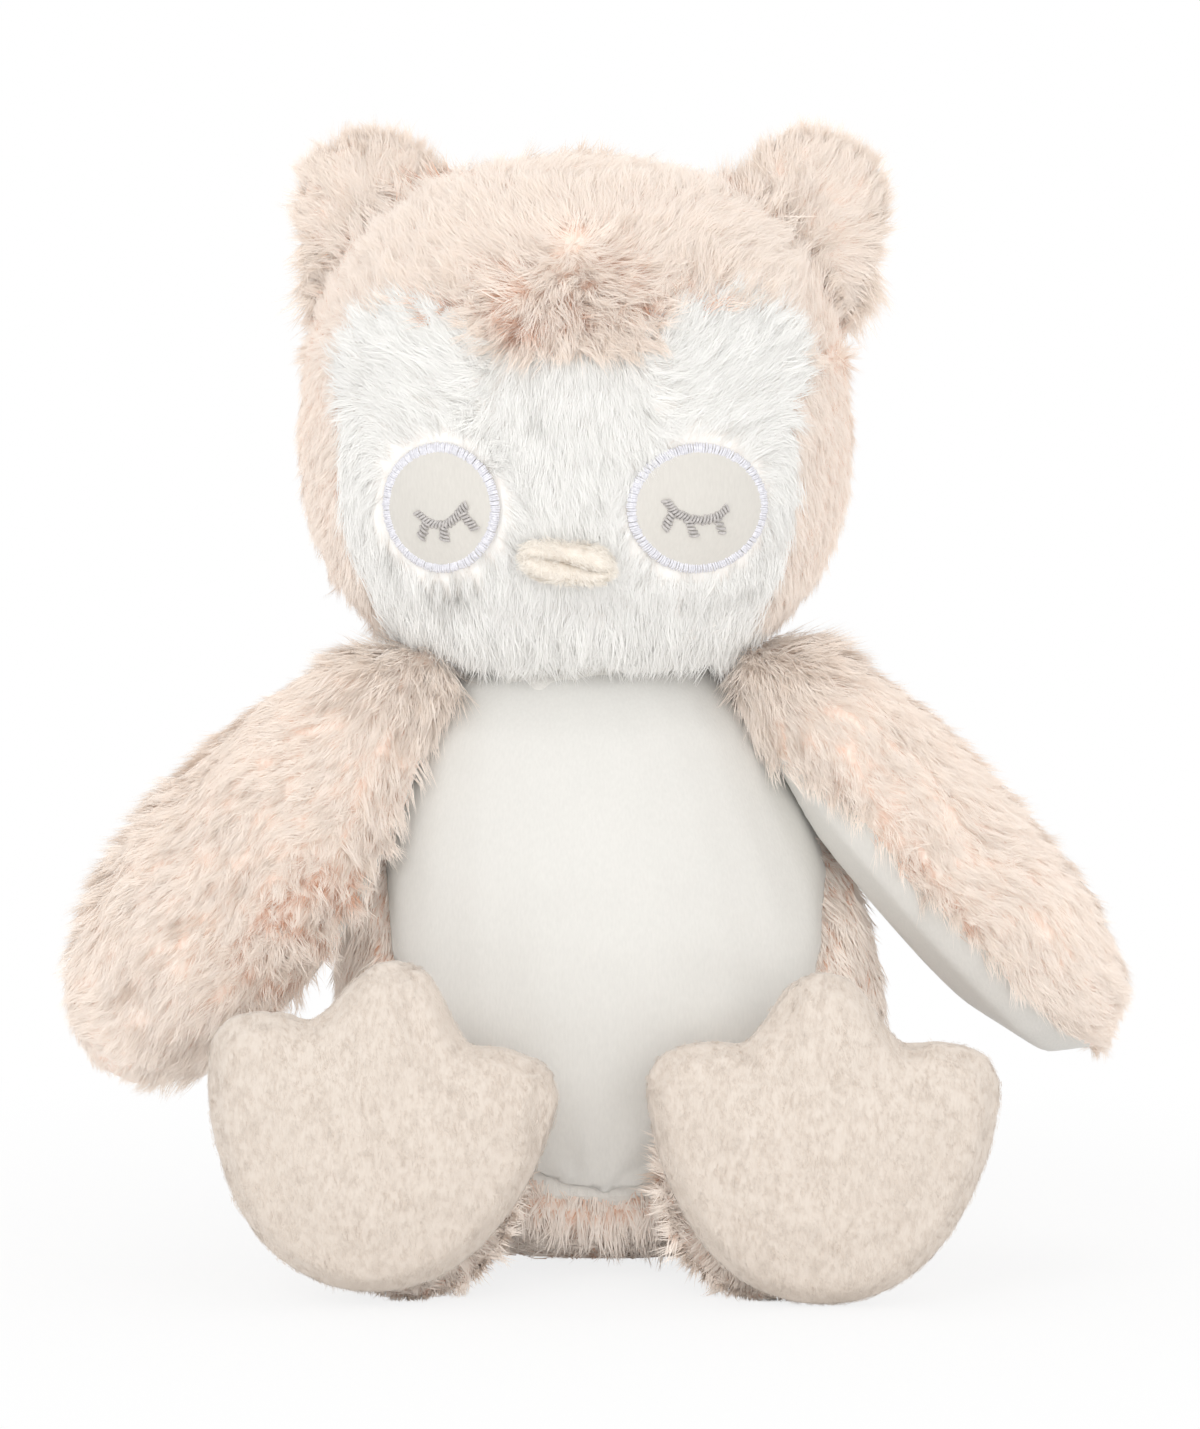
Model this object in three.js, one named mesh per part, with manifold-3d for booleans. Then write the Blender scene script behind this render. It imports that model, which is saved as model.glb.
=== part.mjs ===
// A seated plush owl, in millimetres. +Z is up, the owl faces -Y, and the origin lies on the table
// in the middle of the flat seat. Every soft form is a mean surface: the pile's tips stand out of it.

import * as THREE from 'three';
import { mergeVertices } from 'three/addons/utils/BufferGeometryUtils.js';
import Module from 'manifold-3d';

const wasm = await Module();
wasm.setup();

const degrees = THREE.MathUtils.degToRad;

// Seams and fits.
const seamGap = 0.3;
const seatDepth = 0.5;
const overrun = 600;

// Cloth, as thick as its backing and the lower half of its pile.
const longPileThickness = 5;
const shortPileThickness = 3;

// Neck, where head and body meet on a level plane.
const neckHeight = 143;
const neckX = -5.8;
const neckOpeningRadius = 22;
const neckPlugHeight = 12;
const headTurn = degrees(-1.6);

// Body, a pear.
const bodyHalfWidth = 66;
const bodyFrontDepth = 52;
const bodyBackDepth = 50;
const bodyX = 2.2;
const bodyProfileShares = [
  [0, 0], [0.27, 0.001], [0.54, 0.014], [0.75, 0.057], [0.89, 0.13], [0.975, 0.265], [1, 0.41],
  [0.96, 0.57], [0.87, 0.71], [0.75, 0.845], [0.655, 0.94], [0.6, 1], [0.45, 1.07], [0.22, 1.11],
  [0, 1.12],
];
const bodySegments = 26;
const bodyProfileSteps = 15;
const bodyWidestShare = 0.41;

// Belly panel, seen from the front, from its point at the bottom round to the neck.
const bellyHalfWidth = 50;
const bellyX = 1.4;
const bellyLowest = 20;
const bellyOutlineShares = [
  [0, 0], [0.3, 0.03], [0.62, 0.15], [0.86, 0.32], [0.98, 0.5], [1, 0.6], [0.93, 0.74], [0.8, 0.86],
  [0.66, 1], [0.6, 1.1],
];

// Pellet bag, in the bottom of the body.
const pelletBagHalfWidth = 40;
const pelletBagHalfDepth = 30;
const pelletBagHeight = 28;
const pelletBagSegments = 14;

// Head. Its heights, and those of all that it carries, are given above the neck.
const headHalfWidth = 66;
const headWidestRise = 53;
const headUp = 65.5;
const headDown = 57;
const headFullness = 2.45;
const headFrontDepth = 56;
const headBackDepth = 52;
const headSegments = 28;
const headProfileSteps = 12;

// Face panel, seen from the front: heart-shaped, from the peak between its lobes down to the chin.
const faceHalfWidth = 59;
const facePeakRise = 66;
const faceChinRise = 1;
const faceOutlineShares = [
  [0, 1], [0.2, 1.13], [0.4, 1.23], [0.62, 1.28], [0.81, 1.21], [0.93, 1.05], [1, 0.8], [0.995, 0.58],
  [0.94, 0.36], [0.82, 0.16], [0.64, 0.02], [0.5, -0.12],
];

// Eyes: a smooth disc, a ring of stitches and an embroidered lid with three lashes.
const eyeSpacing = 59.6;
const eyeRise = 38.6;
const eyeRadius = 15.4;
const eyePointShare = 0.035;
const ringWidth = 2.7;
const pocketDepth = 3;
const patchDepth = 1.2;
const ringDepth = 0.2;
const lashDepth = 0.3;
const threadWidth = 2.1;
const eyeSegments = 20;
const leftLidShares = [[0.42, 0.05], [0.18, -0.21], [0, -0.26], [-0.15, -0.24], [-0.36, -0.09]];
const leftLashShares = [
  [[-0.21, -0.24], [-0.3, -0.46]], [[0.07, -0.26], [0.07, -0.49]], [[0.36, -0.09], [0.54, -0.31]],
];
const rightLidShares = [[-0.49, 0.12], [-0.32, -0.07], [-0.03, -0.18], [0.27, -0.15], [0.44, -0.01]];
const rightLashShares = [
  [[-0.41, -0.1], [-0.5, -0.31]], [[-0.15, -0.2], [-0.06, -0.42]], [[0.3, -0.18], [0.37, -0.39]],
];

// Beak: two cushioned lips, the upper one larger.
const beakHalfWidth = 11.2;
const beakReach = 8;
const beakRise = 26.6;
const beakRoll = degrees(5);
const upperLipHalfRise = 3.1;
const lowerLipHalfRise = 2.8;
const lowerLipHalfWidth = 10.2;
const lipOverlap = 0.5;
const beakSegments = 14;

// Ears, flat pouches on the crown that lean outwards.
const earHalfWidth = 18.5;
const earHalfHeight = 24;
const earThickness = 8;
const leftEarX = -47.5;
const rightEarX = 54.5;
const earRise = 102;
const earY = 3;
const earLean = degrees(18);
const earFullness = 2.6;

// Wings, long leaves that hang from a seam at the shoulder.
const wingLength = 127;
const wingHalfWidth = 29;
const wingOuterThickness = 20;
const wingLiningThickness = 20;
const wingOutlineShares = [
  [0, 0], [0.3, 0.02], [0.53, 0.1], [0.76, 0.24], [0.92, 0.4], [1, 0.56], [0.98, 0.69],
  [0.86, 0.82], [0.62, 0.93], [0.32, 0.985], [0, 1],
];
const wingMiddleShare = 0.54;
const wingRoundness = 3.2;
const wingRaised = degrees(45);
const shoulderRise = 3;
const leftShoulderX = -42;
const leftShoulderY = -20;
const rightShoulderX = 38;
const rightShoulderY = -13;
const leftWingSpread = degrees(38);
const rightWingSpread = degrees(-41.5);
const leftWingRoll = degrees(-30);
const rightWingRoll = degrees(83);

// Legs, short tubes that flatten to a level seam at the hip.
const hipHeight = 18;
const hipY = -31;
const legRootY = -24;
const ankleY = -66;
const ankleOpening = 1;
const leftLegX = -44;
const rightLegX = 39;
const legHalfWidth = 26;
const legHalfHeight = 26;
const legSectionShares = [
  [0, 0.72, 0.16], [0.18, 0.84, 0.34], [0.42, 0.95, 0.7], [0.7, 1, 0.95], [1, 0.96, 1],
];
const legSegments = 18;
const legLowered = degrees(-45);
const legRaised = degrees(12);

// Feet, flat cushions with three toes that stand upright on the table.
const footHalfWidth = 41;
const footHeight = 78.7;
const footThickness = 12.5;
const footY = -75;
const footOutlineShares = [
  [0, 1], [0.13, 0.985], [0.23, 0.935], [0.31, 0.87], [0.39, 0.805], [0.45, 0.775], [0.56, 0.788],
  [0.78, 0.78], [0.93, 0.75], [1, 0.69], [0.995, 0.58], [0.94, 0.45], [0.85, 0.33], [0.71, 0.2],
  [0.5, 0.085], [0.25, 0.02], [0, 0],
];
const footMiddleShare = 0.48;
const leftFootX = -51.4;
const rightFootX = 51;
const leftFootLift = 2.9;
const rightFootLift = 0;
const leftFootRoll = degrees(9);
const rightFootRoll = degrees(0);
const footSegments = 38;

// Cushion forms: how round their edge is, and how many rings draw each side.
const cushionRoundness = 2.4;
const cushionRings = 3;
const leafSegments = 24;

// Materials, by the real cloth.
const pinkPile = cloth('#f0decf', 0.95);
const whitePile = cloth('#f4f2ee', 0.95);
const smoothPile = cloth('#f4f3ee', 0.8);
const greigePile = cloth('#eaded2', 0.85);
const creamFleece = cloth('#f3e9de', 0.9);
const whiteThread = cloth('#ecebf0', 0.45);
const greyThread = cloth('#b9b3ae', 0.4);
const fibreFill = cloth('#fbfaf7', 1);
const bagCotton = cloth('#e8e4dc', 0.9);

function cloth(color, roughness) {
  return new THREE.MeshStandardMaterial({ color, roughness, metalness: 0 });
}

// A solid from a closed form, without the slivers that a pole leaves.
function solid(form) {
  const bare = form.clone();
  bare.deleteAttribute('normal');
  bare.deleteAttribute('uv');
  const merged = mergeVertices(bare);
  const corners = merged.index.array;
  const triangles = [];
  for (let start = 0; start < corners.length; start += 3) {
    const [a, b, c] = corners.slice(start, start + 3);
    if (a !== b && b !== c && c !== a) triangles.push(a, b, c);
  }
  return new wasm.Manifold(new wasm.Mesh({
    numProp: 3,
    vertProperties: new Float32Array(merged.attributes.position.array),
    triVerts: new Uint32Array(triangles),
  }));
}

function formOf(cutSolid) {
  const mesh = cutSolid.getMesh();
  const form = new THREE.BufferGeometry();
  form.setAttribute('position', new THREE.BufferAttribute(mesh.vertProperties, mesh.numProp));
  form.setIndex(new THREE.BufferAttribute(mesh.triVerts, 1));
  form.computeVertexNormals();
  return form;
}

// Everything on one side of a plane square to an axis.
function halfSpace(axis, side, place) {
  const block = new THREE.BoxGeometry(overrun, overrun, overrun);
  const middle = new THREE.Vector3();
  middle[axis] = place + (side * overrun) / 2;
  block.translate(middle.x, middle.y, middle.z);
  return solid(block);
}

// Skins rings of equal count, closed by a point at each end.
function skin(rings, startPoint, endPoint) {
  const points = [startPoint, ...rings.flat(), endPoint];
  const count = rings[0].length;
  const lastPoint = points.length - 1;
  const corner = (ring, spot) => 1 + ring * count + (spot % count);
  const index = [];
  for (let spot = 0; spot < count; spot += 1) {
    index.push(0, corner(0, spot + 1), corner(0, spot));
    index.push(lastPoint, corner(rings.length - 1, spot), corner(rings.length - 1, spot + 1));
    for (let ring = 0; ring + 1 < rings.length; ring += 1) {
      index.push(corner(ring, spot), corner(ring, spot + 1), corner(ring + 1, spot + 1));
      index.push(corner(ring, spot), corner(ring + 1, spot + 1), corner(ring + 1, spot));
    }
  }
  return new THREE.BufferGeometry().setFromPoints(points).setIndex(index);
}

// A smooth closed outline from one half of it, mirrored, as points in X and Z.
function mirroredOutline(halfShares, halfWidth, length, count) {
  const halfPoints = (side, shares) => shares.map(
    ([across, along]) => new THREE.Vector3(side * across * halfWidth, along * length, 0),
  );
  const offMiddleShares = halfShares.filter(([across]) => across > 0).reverse();
  const points = [...halfPoints(1, halfShares), ...halfPoints(-1, offMiddleShares)];
  const curve = new THREE.CatmullRomCurve3(points, true);
  return curve.getSpacedPoints(count).slice(1).map((point) => new THREE.Vector2(point.x, point.y));
}

// Moves an outline outwards from its middle, or inwards by a negative growth.
function grown(outline, middle, growth) {
  return outline.map((point) => {
    const ray = point.clone().sub(middle);
    return middle.clone().add(ray.setLength(ray.length() + growth));
  });
}

// An upright prism that runs forwards from the middle plane.
function prism(outline) {
  const form = new THREE.ExtrudeGeometry(new THREE.Shape(outline), { depth: overrun, bevelEnabled: false });
  form.rotateX(Math.PI / 2);
  return solid(form);
}

// A cushion whose edge is the outline, in the middle plane, and that swells to the front and the back.
function cushion(outline, middle, frontThickness, backThickness, roundness = cushionRoundness) {
  const turning = THREE.ShapeUtils.isClockWise(outline) ? outline : [...outline].reverse();
  const ringAt = (reach, thickness) => turning.map((point) => {
    const place = middle.clone().lerp(point, reach);
    return new THREE.Vector3(place.x, thickness * Math.sqrt(1 - reach ** roundness), place.y);
  });
  const reaches = [];
  for (let ring = 1; ring < cushionRings; ring += 1) {
    reaches.push(Math.sin((Math.PI / 2) * (ring / cushionRings)));
  }
  const frontRings = reaches.map((reach) => ringAt(reach, -frontThickness));
  const backRings = reaches.map((reach) => ringAt(reach, backThickness)).reverse();
  const frontPoint = new THREE.Vector3(middle.x, -frontThickness, middle.y);
  const backPoint = new THREE.Vector3(middle.x, backThickness, middle.y);
  return skin([...frontRings, ringAt(1, 0), ...backRings], frontPoint, backPoint);
}

// A form of revolution about a vertical line, flattened front to back and leaned sideways.
function turnedForm(profile, segments, frontShare, backShare, middleAt) {
  const form = new THREE.LatheGeometry(profile, segments);
  form.rotateX(Math.PI / 2);
  const spots = form.attributes.position;
  for (let spot = 0; spot < spots.count; spot += 1) {
    const depthShare = spots.getY(spot) < 0 ? frontShare : backShare;
    spots.setY(spot, spots.getY(spot) * depthShare);
    spots.setX(spot, spots.getX(spot) + middleAt(spots.getZ(spot)));
  }
  return form;
}

function placed(form, group) {
  return form.clone().applyMatrix4(group.matrixWorld);
}

function turnedAbout(form, pivot, turn, angle) {
  return form.translate(-pivot.x, -pivot.y, -pivot.z)[turn](angle).translate(pivot.x, pivot.y, pivot.z);
}

function broughtInto(form, group) {
  return form.clone().applyMatrix4(group.matrixWorld.clone().invert());
}

const owl = new THREE.Group();

function placeGroup(parent, x, y, z) {
  const group = new THREE.Group();
  group.position.set(x, y, z);
  parent.add(group);
  return group;
}

function addPiece(group, name, piece, material) {
  const mesh = new THREE.Mesh(formOf(piece), material);
  mesh.name = name;
  group.add(mesh);
}

// Body: two pile covers, the belly panel, the fill and the pellet bag.

function bodyMiddle(height) {
  const lean = THREE.MathUtils.smoothstep(height, bodyWidestShare * neckHeight, neckHeight);
  return THREE.MathUtils.lerp(bodyX, neckX, lean);
}

function bodyForm(inset) {
  const curve = new THREE.SplineCurve(bodyProfileShares.map(
    ([across, rise]) => new THREE.Vector2(across * bodyHalfWidth, rise * neckHeight - seatDepth),
  ));
  const profile = [];
  for (let step = 0; step <= bodyProfileSteps; step += 1) {
    const along = step / bodyProfileSteps;
    const point = curve.getPointAt(along);
    const tangent = curve.getTangentAt(along);
    const isEnd = step === 0 || step === bodyProfileSteps;
    profile.push(new THREE.Vector2(isEnd ? 0 : point.x - inset * tangent.y, point.y + inset * tangent.x));
  }
  const frontShare = bodyFrontDepth / bodyHalfWidth;
  const backShare = bodyBackDepth / bodyHalfWidth;
  return turnedForm(profile, bodySegments, frontShare, backShare, bodyMiddle);
}

const bellyRise = neckHeight - bellyLowest;
const bellyMiddle = new THREE.Vector2(0, bellyRise / 2);
const bellyOutline = mirroredOutline(bellyOutlineShares, bellyHalfWidth, bellyRise, leafSegments);

function bellyPrism(growth) {
  const outline = grown(bellyOutline, bellyMiddle, growth);
  return prism(outline.map((point) => new THREE.Vector2(point.x + bellyX, point.y + bellyLowest)));
}

function addBody() {
  const underNeck = halfSpace('z', -1, neckHeight);
  const onTable = halfSpace('z', 1, 0);
  const outside = solid(bodyForm(0)).intersect(underNeck).intersect(onTable);
  const cover = outside.subtract(solid(bodyForm(longPileThickness)));
  const fur = cover.subtract(bellyPrism(seamGap));
  const core = solid(bodyForm(longPileThickness + seamGap)).intersect(underNeck);
  const bag = solid(pelletBagForm(0));
  const group = placeGroup(owl, 0, 0, 0);
  addPiece(group, 'body_cover_left', fur.intersect(halfSpace('x', -1, bodyX - seamGap / 2)), pinkPile);
  addPiece(group, 'body_cover_right', fur.intersect(halfSpace('x', 1, bodyX + seamGap / 2)), pinkPile);
  addPiece(group, 'belly_panel', cover.intersect(bellyPrism(0)), smoothPile);
  addPiece(group, 'body_stuffing', core.subtract(solid(pelletBagForm(seamGap))), fibreFill);
  addPiece(group, 'pellet_bag', core.intersect(bag), bagCotton);
}

function pelletBagForm(growth) {
  const bag = new THREE.SphereGeometry(1, pelletBagSegments, pelletBagSegments / 2);
  bag.rotateX(Math.PI / 2);
  bag.scale(pelletBagHalfWidth + growth, pelletBagHalfDepth + growth, pelletBagHeight / 2 + growth);
  bag.translate(bodyX, 0, pelletBagHeight / 2);
  return bag;
}

// Head: a full round form that narrows to the neck.

const headFrontShare = headFrontDepth / headHalfWidth;
const headBackShare = headBackDepth / headHalfWidth;

function headForm(inset, frontShare = headFrontShare, backShare = headBackShare) {
  const profile = [];
  for (let step = 0; step <= headProfileSteps; step += 1) {
    const angle = Math.PI * (step / headProfileSteps - 1 / 2);
    const rise = Math.sign(Math.sin(angle)) * Math.abs(Math.sin(angle)) ** (2 / headFullness);
    const across = Math.cos(angle) ** (2 / headFullness);
    const reach = (rise < 0 ? headDown : headUp) - inset;
    profile.push(new THREE.Vector2(across * (headHalfWidth - inset), headWidestRise + rise * reach));
  }
  return turnedForm(profile, headSegments, frontShare, backShare, () => 0);
}

// The space that the head sweeps as it turns, which is round at every height.
function sweptHead(inset) {
  return headForm(inset, 1, 1).translate(neckX, 0, neckHeight);
}

function headFrontAt(rise) {
  const drop = Math.abs(rise - headWidestRise) / (rise < headWidestRise ? headDown : headUp);
  return -headFrontDepth * (1 - drop ** headFullness) ** (1 / headFullness);
}

function neckPlug(growth) {
  const plug = new THREE.CylinderGeometry(
    neckOpeningRadius + growth, neckOpeningRadius + growth, 2 * neckPlugHeight, leafSegments,
  );
  plug.rotateX(Math.PI / 2);
  return solid(plug);
}

const faceLength = facePeakRise - faceChinRise;
const faceMiddle = new THREE.Vector2(0, faceLength / 2);
const faceOutline = mirroredOutline(faceOutlineShares, faceHalfWidth, faceLength, headSegments);

function facePrism(growth) {
  const outline = grown(faceOutline, faceMiddle, growth);
  return prism(outline.map((point) => new THREE.Vector2(point.x, point.y + faceChinRise)));
}

// An eye's outline, a round that comes to a soft point at the bottom.
function eyeOutline(side, radius) {
  const outline = [];
  for (let step = 0; step < eyeSegments; step += 1) {
    const angle = (2 * Math.PI * step) / eyeSegments;
    const low = Math.max(0, -Math.sin(angle)) ** 4;
    const reach = radius * (1 + eyePointShare * low);
    outline.push(new THREE.Vector2(
      (side * eyeSpacing) / 2 + reach * Math.cos(angle),
      eyeRise + reach * Math.sin(angle),
    ));
  }
  return outline;
}

// A band of satin stitches of one width, along a curve through places given from the eye's middle.
function stitchPrism(side, placeShares) {
  const places = placeShares.map(([across, along]) => new THREE.Vector2(
    (side * eyeSpacing) / 2 + across * eyeRadius,
    eyeRise + along * eyeRadius,
  ));
  const curve = new THREE.SplineCurve(places);
  const upper = [];
  const lower = [];
  const steps = 2 * (places.length - 1);
  for (let step = 0; step <= steps; step += 1) {
    const tangent = curve.getTangentAt(step / steps);
    const offset = new THREE.Vector2(-tangent.y, tangent.x).multiplyScalar(threadWidth / 2);
    const point = curve.getPointAt(step / steps);
    upper.push(point.clone().add(offset));
    lower.unshift(point.clone().sub(offset));
  }
  return prism([...upper, ...lower]);
}

function addHead() {
  const group = placeGroup(owl, neckX, 0, neckHeight);
  group.rotation.z = headTurn;
  group.updateMatrixWorld(true);
  const overNeck = halfSpace('z', 1, seamGap);
  const whole = solid(headForm(0)).intersect(overNeck);
  const core = solid(headForm(longPileThickness + seamGap)).add(neckPlug(-seamGap)).intersect(overNeck);
  const cover = whole.subtract(solid(headForm(longPileThickness)).add(neckPlug(0)));
  const fur = cover.subtract(facePrism(seamGap));
  addPiece(group, 'crown_left', fur.intersect(halfSpace('x', -1, -seamGap / 2)), pinkPile);
  addPiece(group, 'crown_right', fur.intersect(halfSpace('x', 1, seamGap / 2)), pinkPile);
  addPiece(group, 'head_stuffing', core, fibreFill);
  let face = cover.intersect(facePrism(0));
  const aroundPocket = solid(headForm(pocketDepth));
  for (const side of [-1, 1]) {
    const pocket = prism(eyeOutline(side, eyeRadius + seamGap)).subtract(aroundPocket);
    face = face.subtract(pocket);
    addEye(group, side);
    addEar(group, side);
  }
  addPiece(group, 'face_panel', face, whitePile);
  addBeak(group);
}

function addEye(group, side) {
  const sideName = side < 0 ? 'left' : 'right';
  const lid = side < 0 ? leftLidShares : rightLidShares;
  const lashes = side < 0 ? leftLashShares : rightLashShares;
  const floor = solid(headForm(pocketDepth - seamGap));
  const layer = (depth) => solid(headForm(depth)).subtract(floor);
  const inner = eyeRadius - ringWidth;
  const ring = prism(eyeOutline(side, eyeRadius)).subtract(prism(eyeOutline(side, inner)));
  addPiece(group, `eye_patch_${sideName}`,
    layer(patchDepth).intersect(prism(eyeOutline(side, inner - seamGap))), smoothPile);
  addPiece(group, `eye_ring_${sideName}`, layer(ringDepth).intersect(ring), whiteThread);
  let stitches = stitchPrism(side, lid);
  for (const lash of lashes) stitches = stitches.add(stitchPrism(side, lash));
  const overPatch = solid(headForm(lashDepth)).subtract(solid(headForm(patchDepth - seamGap)));
  addPiece(group, `eye_lash_${sideName}`, overPatch.intersect(stitches), greyThread);
}

// A pouch of two panels that stands on the crown, cut to the head's curve.
function addEar(group, side) {
  const sideName = side < 0 ? 'left' : 'right';
  const outline = [];
  for (let step = 0; step < leafSegments; step += 1) {
    const angle = (2 * Math.PI * step) / leafSegments;
    const across = Math.sign(Math.cos(angle)) * Math.abs(Math.cos(angle)) ** (2 / earFullness);
    const along = Math.sign(Math.sin(angle)) * Math.abs(Math.sin(angle)) ** (2 / earFullness);
    outline.push(new THREE.Vector2(across * earHalfWidth, along * earHalfHeight));
  }
  const pouch = cushion(outline, new THREE.Vector2(), earThickness, earThickness);
  pouch.rotateY(side * earLean);
  pouch.translate(side < 0 ? leftEarX : rightEarX, earY, earRise);
  const ear = solid(pouch).subtract(solid(headForm(-seamGap)));
  addPiece(group, `ear_front_${sideName}`, ear.intersect(halfSpace('y', -1, earY - seamGap / 2)), pinkPile);
  addPiece(group, `ear_back_${sideName}`, ear.intersect(halfSpace('y', 1, earY + seamGap / 2)), pinkPile);
}

function addBeak(group) {
  const lip = (direction, halfRise, halfWidth) => {
    const pad = new THREE.SphereGeometry(1, beakSegments, beakSegments / 2);
    pad.scale(halfWidth, beakReach, halfRise);
    pad.translate(0, 0, direction * (halfRise - lipOverlap));
    pad.rotateY(beakRoll);
    pad.translate(0, headFrontAt(beakRise), beakRise);
    return solid(pad).subtract(solid(headForm(-seamGap)));
  };
  const crease = (side) => {
    const block = new THREE.BoxGeometry(overrun, overrun, overrun);
    block.translate(0, 0, side * (overrun / 2 + seamGap / 2));
    block.rotateY(beakRoll);
    block.translate(0, 0, beakRise);
    return solid(block);
  };
  const upper = lip(1, upperLipHalfRise, beakHalfWidth);
  const lower = lip(-1, lowerLipHalfRise, lowerLipHalfWidth);
  addPiece(group, 'beak_upper', upper.intersect(crease(1)), creamFleece);
  addPiece(group, 'beak_lower', lower.intersect(crease(-1)), creamFleece);
}

// Wings: a pile outside and a smooth lining, sewn edge to edge round the fill.

const wingOutline = mirroredOutline(wingOutlineShares, wingHalfWidth, -wingLength, leafSegments);
const wingMiddle = new THREE.Vector2(0, -wingMiddleShare * wingLength);

function wingForm(inset) {
  const outline = grown(wingOutline, wingMiddle, -inset);
  const outerThickness = wingOuterThickness - inset;
  const liningThickness = wingLiningThickness - inset;
  return cushion(outline, wingMiddle, outerThickness, liningThickness, wingRoundness);
}

function addWing(sideName, shoulderX, shoulderY, spread, roll) {
  const group = placeGroup(owl, shoulderX, shoulderY, neckHeight + shoulderRise);
  const blade = new THREE.Group();
  group.rotation.y = spread;
  blade.rotation.z = roll;
  group.add(blade);
  group.updateMatrixWorld(true);
  const raisings = [0, wingRaised / 2, wingRaised].map((angle) => Math.sign(spread) * angle);
  const inTheWay = raisings.flatMap((angle) => [bodyForm(-seamGap), sweptHead(-seamGap)].map((form) => (
    solid(broughtInto(turnedAbout(form, group.position, 'rotateY', -angle), blade))
  )));
  const trimmed = (piece) => inTheWay.reduce((rest, form) => rest.subtract(form), piece);
  const cover = solid(wingForm(0)).subtract(solid(wingForm(shortPileThickness)));
  const fill = solid(wingForm(shortPileThickness + seamGap));
  const outer = cover.intersect(halfSpace('y', -1, -seamGap / 2));
  const lining = cover.intersect(halfSpace('y', 1, seamGap / 2));
  addPiece(blade, `wing_outer_${sideName}`, trimmed(outer), pinkPile);
  addPiece(blade, `wing_lining_${sideName}`, trimmed(lining), smoothPile);
  addPiece(blade, `wing_stuffing_${sideName}`, trimmed(fill), fibreFill);
}

// Legs and feet.

function legForm(inset) {
  const rootY = legRootY - 2 * inset;
  const endY = inset > 0 ? ankleY - ankleOpening : ankleY;
  const rings = legSectionShares.map(([alongShare, widthShare, heightShare]) => {
    const y = THREE.MathUtils.lerp(rootY, endY, alongShare);
    const middleZ = THREE.MathUtils.lerp(hipHeight, legHalfHeight - seatDepth, heightShare);
    const ring = [];
    for (let spot = 0; spot < legSegments; spot += 1) {
      const angle = (2 * Math.PI * spot) / legSegments;
      ring.push(new THREE.Vector3(
        widthShare * (legHalfWidth - inset) * Math.cos(angle),
        y,
        middleZ + heightShare * (legHalfHeight - inset) * Math.sin(angle),
      ));
    }
    return ring;
  });
  return skin(rings, new THREE.Vector3(0, rootY, hipHeight), new THREE.Vector3(0, endY, legHalfHeight));
}

const footOutline = mirroredOutline(footOutlineShares, footHalfWidth, footHeight, footSegments);
const footMiddle = new THREE.Vector2(0, footMiddleShare * footHeight);

function footForm(inset) {
  const form = cushion(
    grown(footOutline, footMiddle, -inset), footMiddle, footThickness - inset, footThickness - inset,
  );
  return form.translate(0, 0, -footMiddle.y);
}

function addLeg(sideName, legX, footX, footLift, footRoll) {
  const group = placeGroup(owl, legX, 0, 0);
  const foot = placeGroup(group, footX - legX, footY, footMiddle.y - seatDepth + footLift);
  foot.rotation.y = footRoll;
  group.updateMatrixWorld(true);
  const onTable = halfSpace('z', 1, 0);
  const hip = new THREE.Vector3(legX, hipY, hipHeight);
  const turnedBodies = [legLowered, legLowered / 2, 0, legRaised].map((angle) => (
    solid(broughtInto(turnedAbout(bodyForm(-seamGap), hip, 'rotateX', angle), group))
  ));
  const footThere = solid(broughtInto(placed(footForm(-seamGap), foot), group));
  const trimmed = (piece) => turnedBodies.reduce(
    (rest, body) => rest.subtract(body), piece.subtract(footThere).intersect(onTable),
  );
  const cover = solid(legForm(0)).subtract(solid(legForm(longPileThickness)));
  const fill = solid(legForm(longPileThickness + seamGap));
  addPiece(group, `leg_cover_${sideName}`, trimmed(cover), pinkPile);
  addPiece(group, `leg_stuffing_${sideName}`, trimmed(fill), fibreFill);

  const tableBlock = new THREE.BoxGeometry(overrun, overrun, overrun).translate(0, 0, overrun / 2);
  const tableThere = solid(broughtInto(tableBlock, foot));
  const wholeSkin = solid(footForm(0)).subtract(solid(footForm(shortPileThickness)));
  const skinCloth = wholeSkin.intersect(tableThere);
  const sole = skinCloth.intersect(halfSpace('y', -1, -seamGap / 2));
  const top = skinCloth.intersect(halfSpace('y', 1, seamGap / 2));
  addPiece(foot, `foot_sole_${sideName}`, sole, greigePile);
  addPiece(foot, `foot_top_${sideName}`, top, greigePile);
  addPiece(foot, `foot_stuffing_${sideName}`, solid(footForm(shortPileThickness + seamGap)), fibreFill);
}

addBody();
addHead();
addWing('left', leftShoulderX, leftShoulderY, leftWingSpread, leftWingRoll);
addWing('right', rightShoulderX, rightShoulderY, rightWingSpread, rightWingRoll);
addLeg('left', leftLegX, leftFootX, leftFootLift, leftFootRoll);
addLeg('right', rightLegX, rightFootX, rightFootLift, rightFootRoll);

export default owl;
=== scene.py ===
"""The looks of a plush owl: its furs, cloths and stitches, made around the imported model."""

import math
from contextlib import contextmanager

import bmesh
import bpy
import numpy as np
from bpy.props import FloatProperty, FloatVectorProperty, IntProperty, PointerProperty
from bpy.types import Operator, Panel, PropertyGroup
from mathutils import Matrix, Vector
from mathutils.bvhtree import BVHTree


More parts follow.
